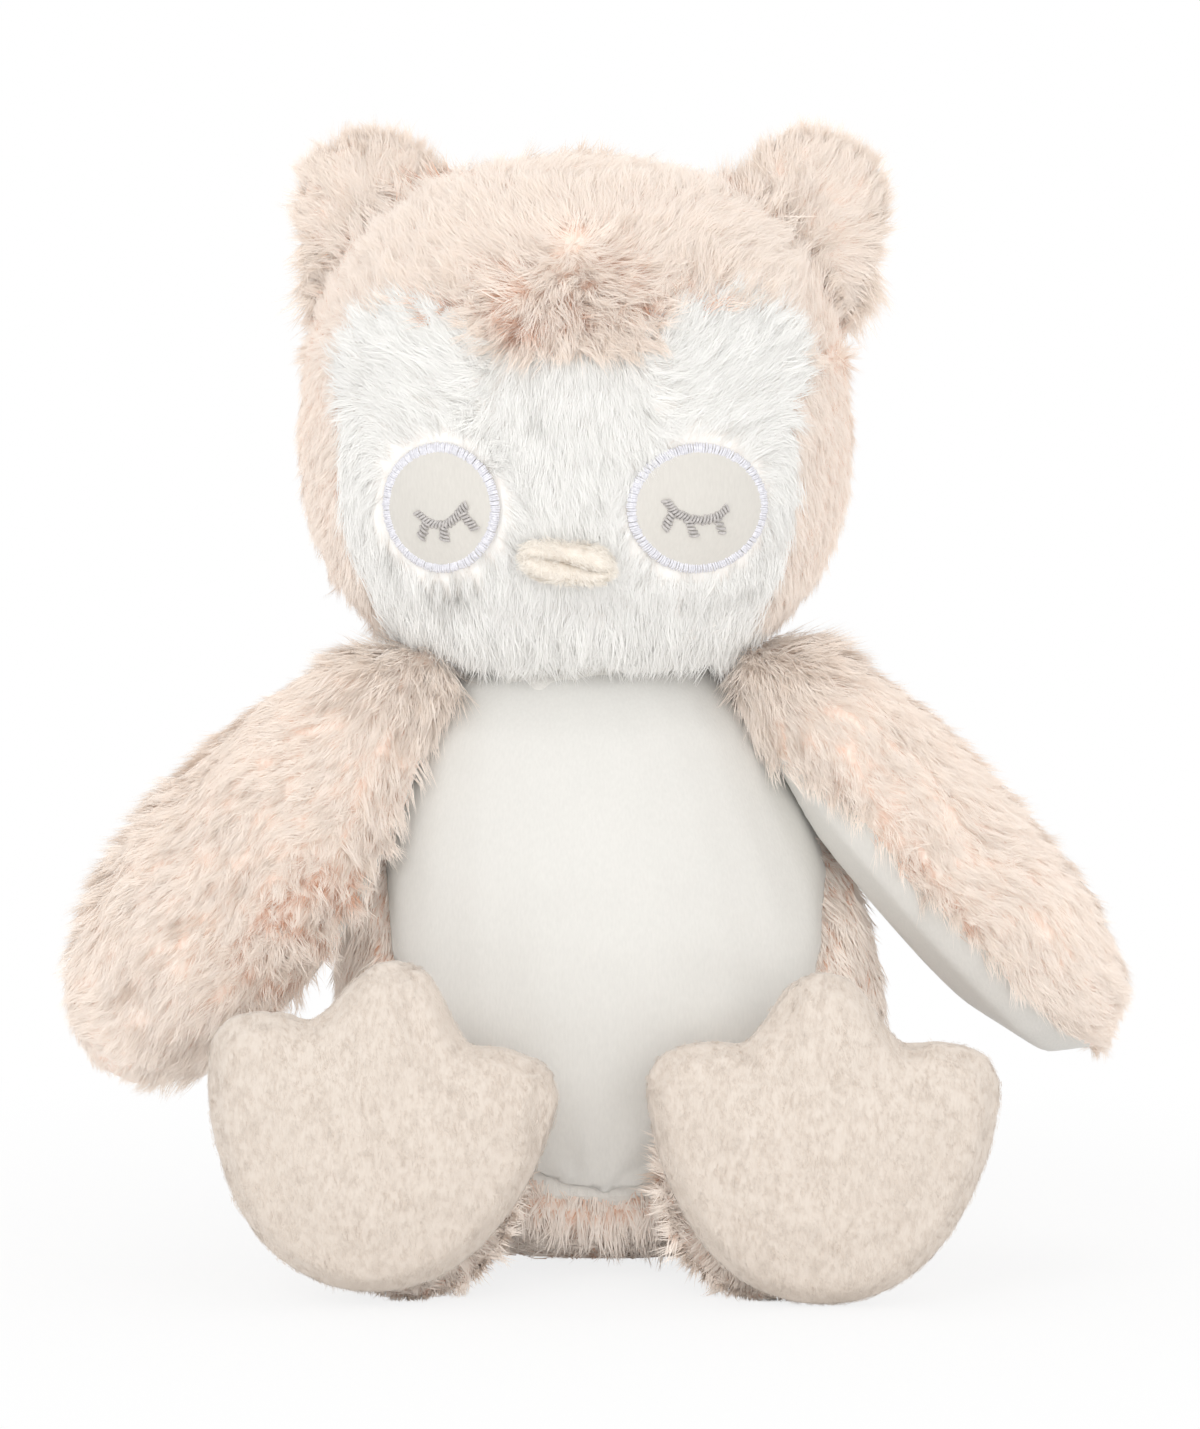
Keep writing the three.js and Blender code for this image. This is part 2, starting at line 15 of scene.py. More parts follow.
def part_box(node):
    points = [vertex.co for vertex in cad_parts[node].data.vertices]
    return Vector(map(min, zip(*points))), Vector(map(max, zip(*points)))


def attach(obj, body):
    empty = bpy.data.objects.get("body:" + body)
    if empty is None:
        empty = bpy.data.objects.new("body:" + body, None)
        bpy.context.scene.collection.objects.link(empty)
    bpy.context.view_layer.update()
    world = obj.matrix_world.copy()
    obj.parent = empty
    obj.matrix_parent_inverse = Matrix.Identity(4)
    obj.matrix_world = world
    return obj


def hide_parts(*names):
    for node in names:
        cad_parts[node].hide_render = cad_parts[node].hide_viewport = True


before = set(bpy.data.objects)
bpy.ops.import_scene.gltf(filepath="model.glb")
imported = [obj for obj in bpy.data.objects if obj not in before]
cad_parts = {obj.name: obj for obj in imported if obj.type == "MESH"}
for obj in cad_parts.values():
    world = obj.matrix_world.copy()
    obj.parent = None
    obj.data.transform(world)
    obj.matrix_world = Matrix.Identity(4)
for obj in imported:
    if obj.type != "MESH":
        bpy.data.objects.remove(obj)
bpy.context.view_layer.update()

bl_info = {
    "name": "Plush owl",
    "version": (1, 0, 0),
    "blender": (4, 5, 0),
    "location": "View3D > Sidebar > Plush owl",
    "description": "Makes the furs, cloths and stitches of a plush owl around its packed model",
    "category": "Add Mesh",
}

MM = 0.001
SIDES = {"left": -1, "right": 1}
# How near to the table a strand may come.
LEAST_HEIGHT = 0.2 * MM
# What the pieces share, by name: materials, tufts and node trees.
finishes = {}
tufts = {}
trees = {}


def to_linear(hex_code):
    """A colour written as sRGB hex, as linear red, green, blue and alpha."""
    shares = [int(hex_code[i:i + 2], 16) / 255 for i in (1, 3, 5)]
    return tuple(s / 12.92 if s <= 0.04045 else ((s + 0.055) / 1.055) ** 2.4 for s in shares) + (1.0,)


def length_property(name, description, millimetres):
    return FloatProperty(name=name, description=description, default=millimetres * MM, unit="LENGTH")


def number_property(name, description, value):
    return FloatProperty(name=name, description=description, default=value)


def colour_property(name, description, hex_code):
    return FloatVectorProperty(
        name=name, description=description, default=to_linear(hex_code), subtype="COLOR", size=4)


class OwlSizes(PropertyGroup):
    """Sizes of the furs and cloths."""

    long_pile: length_property("Long pile", "Length of the pink strands", 8.5)
    face_pile: length_property("Face pile", "Length of the white strands", 8.5)
    ear_pile: length_property("Ear pile", "Length of the ears' strands", 7.0)
    wing_pile: length_property("Wing pile", "Length of the wings' strands", 7.0)
    nap: length_property("Nap", "Length of the smooth cloth's fibres", 1.3)
    backing_depth: length_property("Backing depth", "From the pile's top to its knitted backing", 0.8)
    wing_depth: length_property("Wing depth", "From the wing pile's top to its backing", 1.2)
    nap_depth: length_property("Nap depth", "From the nap's top to its cloth", 0.4)
    thread: length_property("Thread", "Thickness of a satin stitch's thread", 0.6)
    stitch_step: length_property("Stitch step", "From one satin stitch to the next", 0.5)
    eye_radius: length_property("Eye radius", "Eye's radius, ring and all", 15.0)
    ring_width: length_property("Ring width", "Width of the stitched ring", 2.4)
    lash_width: length_property("Lash width", "Width of the stitched lid and lashes", 2.5)


class OwlPile(PropertyGroup):
    """How thickly the strands stand."""

    long_strands: number_property("Long strands", "Pink strands on a square millimetre", 9.0)
    back_strands: number_property("Back strands", "The same at the back", 2.6)
    wing_strands: number_property("Wing strands", "The same on the wings", 5.8)
    face_strands: number_property("Face strands", "White strands on a square millimetre", 9.0)
    nap_strands: number_property("Nap strands", "Fibres on a square millimetre", 8.0)
    seed: IntProperty(name="Seed", description="Seed of every random choice", default=7)


class OwlColours(PropertyGroup):
    """Colours of the furs, cloths and threads."""

    pink_root: colour_property("Pink root", "Long pile at its backing", "#e0ab8b")
    pink_tip: colour_property("Pink tip", "Long pile at its tips", "#fff4ea")
    white_root: colour_property("White root", "Face pile at its backing", "#f9efe7")
    white_tip: colour_property("White tip", "Face pile at its tips", "#fffefb")
    smooth_root: colour_property("Smooth white, root", "Smooth white cloth between its fibres", "#dfddd8")
    smooth_tip: colour_property("Smooth white, tip", "Belly and linings", "#e4e2dd")
    patch_root: colour_property("Eye patch, root", "Eye patches between the fibres", "#d6d2cb")
    patch_tip: colour_property("Eye patch, tip", "Eye patches", "#dcd8d1")
    greige_root: colour_property("Greige, root", "Feet between the fibres", "#dacec2")
    greige_tip: colour_property("Greige, tip", "Feet", "#e1d6cb")
    fleece_root: colour_property("Fleece, root", "Beak between the fibres", "#efe5d9")
    fleece_tip: colour_property("Fleece, tip", "Beak", "#fbf5ec")
    ring_thread: colour_property("Ring thread", "Rings round the eyes", "#eeedf3")
    lash_thread: colour_property("Lash thread", "Closed lids and lashes", "#cbc6c3")
    fibre: colour_property("Fibre", "Fill", "#f2efe9")
    cotton: colour_property("Cotton", "Pellet bag", "#e8e0d0")
    floor: colour_property("Floor", "Floor of the stage", "#f6f6f6")


class OwlStage(PropertyGroup):
    """The camera and the light."""

    distance: FloatProperty(name="Distance", description="Camera to the owl", default=1.4, unit="LENGTH")
    elevation: FloatProperty(
        name="Elevation", description="Camera above the horizon", default=math.radians(5), subtype="ANGLE")
    aim_height: FloatProperty(
        name="Aim height", description="Height looked at", default=0.1294, unit="LENGTH")
    lens: number_property("Lens", "Focal length in millimetres", 146.95)
    key: number_property("Key light", "Watts of the key light", 5.6)
    fill: number_property("Fill light", "Watts of the fill light", 8.5)
    top: number_property("Top light", "Watts of the top light", 2.0)
    ambient: number_property("Ambient", "Strength of the surrounding light", 0.84)


def add_node(tree, kind, inputs=None, **settings):
    """Adds a node with its settings. An input is a value, an output, or a node for its first output."""
    node = tree.nodes.new(kind)
    for name, value in settings.items():
        setattr(node, name, value)
    for key, value in (inputs or {}).items():
        if isinstance(value, bpy.types.Node):
            tree.links.new(value.outputs[0], node.inputs[key])
        elif isinstance(value, bpy.types.NodeSocket):
            tree.links.new(value, node.inputs[key])
        else:
            node.inputs[key].default_value = value
    return node


def put_in_scene(mesh, name):
    piece = bpy.data.objects.new(name, mesh)
    bpy.context.scene.collection.objects.link(piece)
    return piece


def mesh_from(name, points, faces):
    mesh = bpy.data.meshes.new(name)
    mesh.from_pydata([tuple(p) for p in points], [], faces)
    mesh.update()
    return mesh


def evaluated_mesh(piece, name):
    """The piece's mesh with its modifiers applied."""
    graph = bpy.context.evaluated_depsgraph_get()
    mesh = bpy.data.meshes.new_from_object(piece.evaluated_get(graph))
    mesh.name = name
    return mesh


def remove_piece(piece):
    mesh = piece.data
    bpy.data.objects.remove(piece)
    bpy.data.meshes.remove(mesh)


def vectors_of(mesh, name, kind="vertices"):
    items = getattr(mesh, kind)
    flat = np.zeros(3 * len(items), np.float32)
    items.foreach_get(name, flat)
    return flat.reshape(-1, 3).astype(float)


def face_centres(mesh):
    return vectors_of(mesh, "center", "polygons")


def face_normals(mesh):
    return vectors_of(mesh, "normal", "polygons")


@contextmanager
def editing(mesh):
    """The mesh opened for editing, and written back afterwards."""
    opened = bmesh.new()
    opened.from_mesh(mesh)
    yield opened
    opened.to_mesh(mesh)
    opened.free()


def keep_faces(mesh, kept):
    """Deletes the faces that aren't kept."""
    with editing(mesh) as cut:
        lost = [face for face, keep in zip(cut.faces, kept) if not keep]
        bmesh.ops.delete(cut, geom=lost, context="FACES")


def tube_faces(rings, spokes):
    """The faces between rings of corners that lie one after another."""
    faces = []
    for ring in range(rings - 1):
        for spoke in range(spokes):
            a = ring * spokes + spoke
            b = ring * spokes + (spoke + 1) % spokes
            faces.append((a, b, b + spokes, a + spokes))
    return faces


def fix_normals(mesh):
    with editing(mesh) as turned:
        bmesh.ops.recalc_face_normals(turned, faces=turned.faces)
    mesh.shade_smooth()


def set_attribute(mesh, name, kind, values):
    attribute = mesh.attributes.new(name, kind, "POINT")
    field = "vector" if kind == "FLOAT_VECTOR" else "value"
    attribute.data.foreach_set(field, np.asarray(values, np.float32).ravel())


def smoothstep(value, low, high):
    share = np.clip((value - low) / (high - low), 0, 1)
    return share * share * (3 - 2 * share)


def unit(vectors):
    return vectors / np.maximum(np.linalg.norm(vectors, axis=-1, keepdims=True), 1e-9)


# Materials.


def new_material(name):
    material = bpy.data.materials.new(name)
    material.use_nodes = True
    material.node_tree.nodes.clear()
    return material, material.node_tree


# Faux fur: the root's colour low down and along tangled strands, the tip's colour along combed ones.
def strand_material(name, root, tip):
    material, tree = new_material(name)
    spot = add_node(tree, "ShaderNodeUVMap", uv_map="OFBake")
    parts = add_node(tree, "ShaderNodeSeparateXYZ", {0: spot})
    both = add_node(tree, "ShaderNodeMath", {0: parts.outputs["X"], 1: parts.outputs["Y"]}, operation="ADD")
    along = add_node(tree, "ShaderNodeMapRange", {
        "Value": both, "From Min": 0.25, "From Max": 1.0}, interpolation_type="SMOOTHSTEP")
    strand = add_node(tree, "ShaderNodeMix", {0: along, 6: root, 7: tip}, data_type="RGBA")
    shader = add_node(tree, "ShaderNodeBsdfPrincipled", {
        "Base Color": strand.outputs[2], "Roughness": 0.75, "Specular IOR Level": 0.2})
    add_node(tree, "ShaderNodeOutputMaterial", {"Surface": shader})
    return material


# Cloth seen between its fibres: two near shades in streaks along its nap, and a fine raised grain.
def cloth_material(name, dark, light, grain, depth):
    material, tree = new_material(name)
    place = add_node(tree, "ShaderNodeTexCoord").outputs["Object"]
    along_nap = add_node(tree, "ShaderNodeVectorMath", {0: place, 1: (1, 1, 0.3)}, operation="MULTIPLY")
    mottle = add_node(tree, "ShaderNodeTexNoise", {"Vector": place, "Scale": 1 / (20 * grain), "Detail": 2.0})
    fine = add_node(tree, "ShaderNodeTexNoise", {"Vector": along_nap, "Scale": 1 / grain, "Detail": 3.0})
    both = add_node(tree, "ShaderNodeMath", {0: mottle, 1: 0.35, 2: fine}, operation="MULTIPLY_ADD")
    share = add_node(tree, "ShaderNodeMapRange", {"Value": both, "From Min": 0.45, "From Max": 0.9})
    bump = add_node(tree, "ShaderNodeBump", {"Height": fine, "Strength": 0.5, "Distance": depth})
    colour = add_node(tree, "ShaderNodeMix", {0: share, 6: dark, 7: light}, data_type="RGBA")
    shader = add_node(tree, "ShaderNodeBsdfPrincipled", {
        "Base Color": colour.outputs[2], "Normal": bump,
        "Roughness": 0.85, "Sheen Weight": 0.3, "Sheen Roughness": 0.4, "Specular IOR Level": 0.25})
    add_node(tree, "ShaderNodeOutputMaterial", {"Surface": shader})
    return material


# Rayon embroidery thread: satin, with fine plies across its length.
def thread_material(name, colour, darkest):
    material, tree = new_material(name)
    place = add_node(tree, "ShaderNodeTexCoord").outputs["Object"]
    plies = add_node(tree, "ShaderNodeTexNoise", {"Vector": place, "Scale": 1 / (0.8 * MM), "Detail": 1.0})
    sharp = add_node(tree, "ShaderNodeMapRange", {"Value": plies, "From Min": 0.38, "From Max": 0.62})
    darker = tuple(darkest * part for part in colour[:3]) + (1.0,)
    ply = add_node(tree, "ShaderNodeMix", {0: sharp, 6: darker, 7: colour}, data_type="RGBA")
    shader = add_node(tree, "ShaderNodeBsdfPrincipled", {
        "Base Color": ply.outputs[2], "Roughness": 0.35, "Specular IOR Level": 0.6, "Sheen Weight": 0.1})
    add_node(tree, "ShaderNodeOutputMaterial", {"Surface": shader})
    return material


def make_finishes():
    c = bpy.context.scene.owl_colours
    pair = {key: (tuple(getattr(c, f"{key}_root")), tuple(getattr(c, f"{key}_tip")))
            for key in ("pink", "white", "smooth", "patch", "greige", "fleece")}
    for key, name in (("pink", "Pink faux fur"), ("white", "White faux fur"),
                      ("greige", "Greige short nap"), ("fleece", "Cream fleece fibres")):
        finishes[f"{key}_strands"] = strand_material(name, *pair[key])
    for key, name, grain, depth in (
            ("smooth", "White velour", 0.6, 0.1), ("patch", "Off-white velour", 0.6, 0.1),
            ("greige", "Greige velour", 0.6, 0.12), ("fleece", "Cream fleece", 0.8, 0.25)):
        finishes[f"{key}_cloth"] = cloth_material(name, *pair[key], grain * MM, depth * MM)
    for key, name in (("pink", "Pink knitted backing"), ("white", "White knitted backing")):
        middle = tuple((low + high) / 2 for low, high in zip(*pair[key]))
        finishes[f"{key}_backing"] = cloth_material(name, middle, pair[key][1], 1.2 * MM, 0.3 * MM)
    finishes["ring_thread"] = thread_material("Lilac white rayon thread", tuple(c.ring_thread), 0.85)
    finishes["lash_thread"] = thread_material("Grey rayon thread", tuple(c.lash_thread), 0.75)
    for key, name, grain, depth in (("fibre", "Polyester fibre fill", 1.5, 1),
                                    ("cotton", "Woven cotton", 0.6, 0.1)):
        plain = tuple(getattr(c, key))
        finishes[key] = cloth_material(name, plain, plain, grain * MM, depth * MM)


# Strands and tufts.


def make_tuft(name, seed, strands, stations, root_spread, width, gather, steepest, flattest):
    """A tuft of flat tapering strands, one metre long, that lean towards +X from roots round the origin."""
    rng = np.random.default_rng(seed)
    along = np.linspace(0, 1, stations)
    points = []
    faces = []
    shares = []
    for _ in range(strands):
        strand_length = rng.uniform(0.72, 1.08)
        steep = math.radians(rng.uniform(0.7, 1.15) * steepest)
        flat = math.radians(flattest + rng.uniform(-7, 7))
        pitch = steep + (flat - steep) * along ** 0.6
        yaw = math.radians(rng.uniform(-9, 9))
        roll = math.radians(rng.uniform(-15, 15))
        root_angle = rng.uniform(0, 2 * math.pi)
        root_reach = root_spread * math.sqrt(rng.uniform())
        wave = rng.uniform(-0.035, 0.035)
        phase = rng.uniform(0, math.pi)
        steps = np.concatenate(([0], np.diff(along))) * strand_length
        forward = np.cumsum(steps * np.cos(pitch))
        height = np.cumsum(steps * np.sin(pitch))
        pull = 1 - gather * along
        x = root_reach * math.cos(root_angle) * pull + forward
        y = root_reach * math.sin(root_angle) * pull + forward * math.tan(yaw)
        y = y + wave * np.sin(5 * along + phase) * along
        shade = rng.uniform()
        first = len(points)
        for step in range(stations):
            reach = width / 2 * (0.75 + 0.25 * math.sin(math.pi * min(1, 2 * along[step])))
            reach *= 1 if step < stations - 2 else 0.8
            side = np.array((0, math.cos(roll), 0)) + math.sin(roll) * np.array(
                (-math.sin(pitch[step]), 0, math.cos(pitch[step])))
            middle = np.array((x[step], y[step], height[step]))
            ends = (middle,) if step == stations - 1 else (middle - reach * side, middle + reach * side)
            points.extend(ends)
            shares.extend([(shade, along[step])] * len(ends))
        for step in range(stations - 2):
            corner = first + 2 * step
            faces.append((corner, corner + 2, corner + 3, corner + 1))
        corner = first + 2 * (stations - 2)
        faces.append((corner, corner + 2, corner + 1))
    mesh = mesh_from(name, points, faces)
    shares = np.array(shares)
    set_attribute(mesh, "along", "FLOAT", shares[:, 1])
    bake_map = mesh.attributes.new("OFBake", "FLOAT2", "CORNER")
    corners = np.zeros(len(mesh.loops), np.int32)
    mesh.loops.foreach_get("vertex_index", corners)
    bake_map.data.foreach_set("vector", shares[corners].astype(np.float32).ravel())
    tuft = put_in_scene(mesh, name)
    tuft["strands"] = strands
    return tuft


# Strands, stations, root spread, width, gather, steepest and flattest slope of each kind of tuft.
TUFT_KINDS = {"long": (20, 3, 0.27, 0.021, 0.82, 25, 4),
              "plain": (10, 3, 0.2, 0.05, 0.45, 22, 1),
              "short": (12, 2, 0.9, 0.12, 0.1, 16, 8)}
TUFTS_OF_A_KIND = 4
FIRST_TUFT_SEED = 10


def make_tufts():
    for kind, build in TUFT_KINDS.items():
        tufts[kind] = [make_tuft(f"tuft_{kind}_{spot}", FIRST_TUFT_SEED + spot, *build)
                       for spot in range(TUFTS_OF_A_KIND)]


def make_pile_tree():
    """Sets tufts on a bed, combed by its attributes, and lets the strands sway into locks."""
    tree = bpy.data.node_groups.new("Pile", "GeometryNodeTree")
    sockets = [("Bed", "Geometry"), ("Tufts", "Float"), ("Scatter", "Float"), ("Sway", "Float"),
               ("Lock size", "Float"), ("Softness", "Float"), ("Seed", "Int"), ("Finish", "Material")]
    sockets += [(f"Tuft {spot}", "Object") for spot in range(TUFTS_OF_A_KIND)]
    for name, kind in sockets:
        tree.interface.new_socket(name=name, in_out="INPUT", socket_type=f"NodeSocket{kind}")
    tree.interface.new_socket(name="Pile", in_out="OUTPUT", socket_type="NodeSocketGeometry")
    given = add_node(tree, "NodeGroupInput").outputs
    read = {}
    for kind, names in (("FLOAT", ("pile_length", "pile_shade", "tangle", "tuft_tint", "along")),
                        ("FLOAT_VECTOR", ("comb", "soft_normal", "OFBake"))):
        for name in names:
            read[name] = add_node(tree, "GeometryNodeInputNamedAttribute", {"Name": name}, data_type=kind)
    roots = add_node(tree, "GeometryNodeDistributePointsOnFaces", {
        "Mesh": given["Bed"], "Density": given["Tufts"], "Seed": given["Seed"]}, distribute_method="RANDOM")
    # A tangled tuft leans any way and stands up; a combed one lies along the comb.
    chance = add_node(tree, "FunctionNodeRandomValue", {0: (-1, -1, -1), 1: (1, 1, 1), 8: given["Seed"]},
                      data_type="FLOAT_VECTOR")
    stray = add_node(tree, "ShaderNodeMath", {0: read["tangle"], 1: 0.7, 2: given["Scatter"]},
                     operation="MULTIPLY_ADD")
    level = add_node(tree, "ShaderNodeVectorMath", {0: read["soft_normal"], 1: chance},
                     operation="CROSS_PRODUCT")
    strayed = add_node(tree, "ShaderNodeVectorMath", {0: level, 1: stray, 2: read["comb"]},
                       operation="MULTIPLY_ADD")
    lift = add_node(tree, "ShaderNodeMath", {0: read["tangle"], 1: 0.4}, operation="MULTIPLY")
    lean = add_node(tree, "ShaderNodeVectorMath", {0: read["soft_normal"], 1: lift, 2: strayed},
                    operation="MULTIPLY_ADD")
    turned = add_node(tree, "FunctionNodeAxesToRotation", {
        "Primary Axis": lean, "Secondary Axis": read["soft_normal"]}, primary_axis="X", secondary_axis="Z")
    growth = add_node(tree, "FunctionNodeRandomValue", {2: 0.8, 3: 1.15, 8: 5}, data_type="FLOAT").outputs[1]
    size = add_node(tree, "ShaderNodeMath", {0: read["pile_length"], 1: growth}, operation="MULTIPLY")
    kinds = add_node(tree, "GeometryNodeJoinGeometry")
    for spot in range(TUFTS_OF_A_KIND):
        tuft = add_node(tree, "GeometryNodeObjectInfo", {
            "Object": given[f"Tuft {spot}"], "As Instance": True})
        tree.links.new(tuft.outputs["Geometry"], kinds.inputs[0])
    planted = add_node(tree, "GeometryNodeInstanceOnPoints", {
        "Points": roots.outputs["Points"], "Instance": kinds, "Pick Instance": True, "Rotation": turned,
        "Scale": size})
    tint = add_node(tree, "FunctionNodeRandomValue", {2: -0.16, 3: 0.16, 8: 9}, data_type="FLOAT").outputs[1]
    tinted = add_node(tree, "GeometryNodeStoreNamedAttribute", {
        "Geometry": planted, "Name": "tuft_tint", "Value": tint}, data_type="FLOAT", domain="INSTANCE")
    strands = add_node(tree, "GeometryNodeRealizeInstances", {0: tinted})
    # The strands drift more the nearer their tips, and more where they are tangled.
    place = add_node(tree, "GeometryNodeInputPosition")
    looseness = add_node(tree, "ShaderNodeMath", {0: read["along"], 1: 1.4}, operation="POWER")
    freedom = add_node(tree, "ShaderNodeMath", {0: read["tangle"], 1: 1.2, 2: 1.0}, operation="MULTIPLY_ADD")
    for factor in (given["Sway"], read["pile_length"], freedom):
        looseness = add_node(tree, "ShaderNodeMath", {0: looseness, 1: factor}, operation="MULTIPLY")
    spot = place
    for share, strength in ((1.0, 2.0), (0.3, 0.9)):
        size = add_node(tree, "ShaderNodeMath", {0: given["Lock size"], 1: share}, operation="MULTIPLY")
        scale = add_node(tree, "ShaderNodeMath", {0: 1.0, 1: size}, operation="DIVIDE")
        drift = add_node(tree, "ShaderNodeTexNoise", {"Vector": place, "Scale": scale, "Detail": 1.0})
        centred = add_node(tree, "ShaderNodeVectorMath", {0: drift.outputs["Color"], 1: (0.5, 0.5, 0.5)},
                           operation="SUBTRACT")
        reach = add_node(tree, "ShaderNodeMath", {0: looseness, 1: strength}, operation="MULTIPLY")
        spot = add_node(tree, "ShaderNodeVectorMath", {0: centred, 1: reach, 2: spot},
                        operation="MULTIPLY_ADD")
    parts = add_node(tree, "ShaderNodeSeparateXYZ", {0: spot})
    height = add_node(tree, "ShaderNodeMath", {0: parts.outputs["Z"], 1: LEAST_HEIGHT}, operation="MAXIMUM")
    over_table = add_node(tree, "ShaderNodeCombineXYZ", {
        0: parts.outputs["X"], 1: parts.outputs["Y"], 2: height})
    swayed = add_node(tree, "GeometryNodeSetPosition", {"Geometry": strands, "Position": over_table})
    shares = add_node(tree, "ShaderNodeSeparateXYZ", {0: read["OFBake"]})
    shade = add_node(tree, "ShaderNodeMath", {0: shares.outputs["X"], 1: 0.24, 2: -0.12},
                     operation="MULTIPLY_ADD")
    for extra in ("pile_shade", "tuft_tint"):
        shade = add_node(tree, "ShaderNodeMath", {0: shade, 1: read[extra]}, operation="ADD")
    limited = add_node(tree, "ShaderNodeClamp", {"Value": shade, "Min": 0.01, "Max": 0.99})
    pair = add_node(tree, "ShaderNodeCombineXYZ", {0: limited, 1: shares.outputs["Y"], 2: 0.0})
    mapped = add_node(tree, "GeometryNodeStoreNamedAttribute", {
        "Geometry": swayed, "Name": "OFBake", "Value": pair}, data_type="FLOAT2", domain="CORNER")
    # Strands catch the light as the whole lock does, which is what makes a pile look soft.
    own = add_node(tree, "GeometryNodeInputNormal")
    facing = add_node(tree, "ShaderNodeMix", {"Factor": given["Softness"], 4: own, 5: read["soft_normal"]},
                      data_type="VECTOR")
    softened = add_node(tree, "GeometryNodeSetMeshNormal", mode="FREE", domain="POINT")
    tree.links.new(mapped.outputs[0], softened.inputs["Mesh"])
    tree.links.new(facing.outputs[1], softened.inputs["Custom Normal"])
    painted = add_node(tree, "GeometryNodeSetMaterial", {"Geometry": softened, "Material": given["Finish"]})
    add_node(tree, "NodeGroupOutput", {0: painted})
    return tree


def run_tree(bed, tree, values, name):
    """Runs a node tree on a bed and keeps the result as a plain mesh piece."""
    modifier = bed.modifiers.new("Made", "NODES")
    modifier.node_group = tree
    for item in tree.interface.items_tree:
        if item.in_out == "INPUT" and item.name in values:
            modifier[item.identifier] = values[item.name]
    piece = put_in_scene(evaluated_mesh(bed, name), name)
    keep = {"position", "OFBake", "material_index", "sharp_face", "custom_normal"}
    for extra in [a.name for a in piece.data.attributes if a.name not in keep and not a.name.startswith(".")]:
        piece.data.attributes.remove(piece.data.attributes[extra])
    remove_piece(bed)
    return piece


def grow_pile(name, skin, chosen, kind, strands, finish, comb, length, shade, scatter, sway, tangle=0.0,
              lock_size=9 * MM, softness=0.9, upright=0.0):
    """Grows pile on the chosen faces of a skin.

    Comb, length, shade, tangle and upright may have a value at each corner. Upright is how far the strands
    stand off the skin.
    """
    pile = bpy.context.scene.owl_pile
    mesh = skin.data.copy()
    mesh.materials.clear()
    count = len(mesh.vertices)
    normals = vectors_of(mesh, "normal")
    across = comb - normals * np.sum(comb * normals, axis=1, keepdims=True)
    points = vectors_of(mesh, "co")
    lumps = 0.36 * wander(points, 2 * MM, 5)
    # Where the skin is seen side on, its strands turn their faces forwards or backwards.
    side_on = 1 - smoothstep(np.abs(normals[:, 1]), 0.3, 0.8)
    depth = points[:, 1] - (points[:, 1].min() + points[:, 1].max()) / 2
    facing = np.outer(2.0 * side_on * np.tanh(depth / (7 * MM)), -FORWARD)
    standing = normals * np.broadcast_to(upright, count)[:, None]
    strength = np.maximum(np.linalg.norm(across, axis=1, keepdims=True), 0.6)
    set_attribute(mesh, "comb", "FLOAT_VECTOR", across / strength + standing)
    set_attribute(mesh, "soft_normal", "FLOAT_VECTOR", unit(normals + lumps + facing))
    for field, value in (("pile_length", length), ("pile_shade", shade), ("tangle", tangle)):
        set_attribute(mesh, field, "FLOAT", np.broadcast_to(value, count))
    keep_faces(mesh, chosen)
    per_tuft = tufts[kind][0]["strands"]
    values = {"Tufts": strands / per_tuft / MM ** 2, "Scatter": scatter, "Sway": sway, "Lock size": lock_size,
              "Softness": softness, "Seed": pile.seed, "Finish": finishes[finish]}
    for spot, tuft in enumerate(tufts[kind]):
        values[f"Tuft {spot}"] = tuft
    return run_tree(put_in_scene(mesh, name + "_bed"), trees["pile"], values, name)


# Skins: the stuffed forms that carry the pile.


def soft_skin(name, nodes, grain, inset, rounds):
    """One closed skin over several CAD nodes, smoothed and sunk by the inset."""
    joined = bmesh.new()
    for node in nodes:
        joined.from_mesh(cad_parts[node].data)
    bmesh.ops.remove_doubles(joined, verts=joined.verts, dist=0.001 * MM)
    mesh = bpy.data.meshes.new(name)
    joined.to_mesh(mesh)
    joined.free()
    draft = put_in_scene(mesh, name + "_draft")
    remesh = draft.modifiers.new("Remesh", "REMESH")
    remesh.mode = "VOXEL"
    remesh.voxel_size = grain
    remesh.use_smooth_shade = True
    smooth = draft.modifiers.new("Smooth", "SMOOTH")
    smooth.iterations = rounds
    sink = draft.modifiers.new("Sink", "DISPLACE")
    sink.mid_level = 0
    sink.strength = -inset
    skin = put_in_scene(evaluated_mesh(draft, name), name)
    remove_piece(draft)
    return skin


def distances_to(points, nodes):
    """For each point, its distance from each of the CAD nodes."""
    found = []
    for node in nodes:
        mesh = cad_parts[node].data
        tree = BVHTree.FromPolygons([v.co for v in mesh.vertices], [tuple(p.vertices) for p in mesh.polygons])
        found.append([tree.find_nearest(point)[3] for point in points])
    return np.array(found)


def move_corners(mesh, shift):
    """Moves each corner of a mesh by its own vector."""
    mesh.vertices.foreach_set("co", (vectors_of(mesh, "co") + shift).astype(np.float32).ravel())
    mesh.update()


def nearness(points, place, reach, spread):
    """One at a place in millimetres, falling to nothing at its reach, which may differ by axis."""
    away = (points / MM - np.array(place)) / np.array(spread)
    return 1 - smoothstep(np.linalg.norm(away, axis=1), 0, reach)


def wander(points, size, seed):
    """Smooth random vectors that change over about that size."""
    rng = np.random.default_rng(seed)
    total = np.zeros(points.shape)
    for _ in range(12):
        wave = rng.normal(size=3) / size
        total += np.sin(points @ wave + rng.uniform(0, 2 * math.pi))[:, None] * rng.normal(size=3)
    return total / math.sqrt(12)


def nearest_node(mesh, nodes):
    """For each face, the number of the CAD node that it lies nearest to."""
    return np.argmin(distances_to(face_centres(mesh), nodes), axis=0)


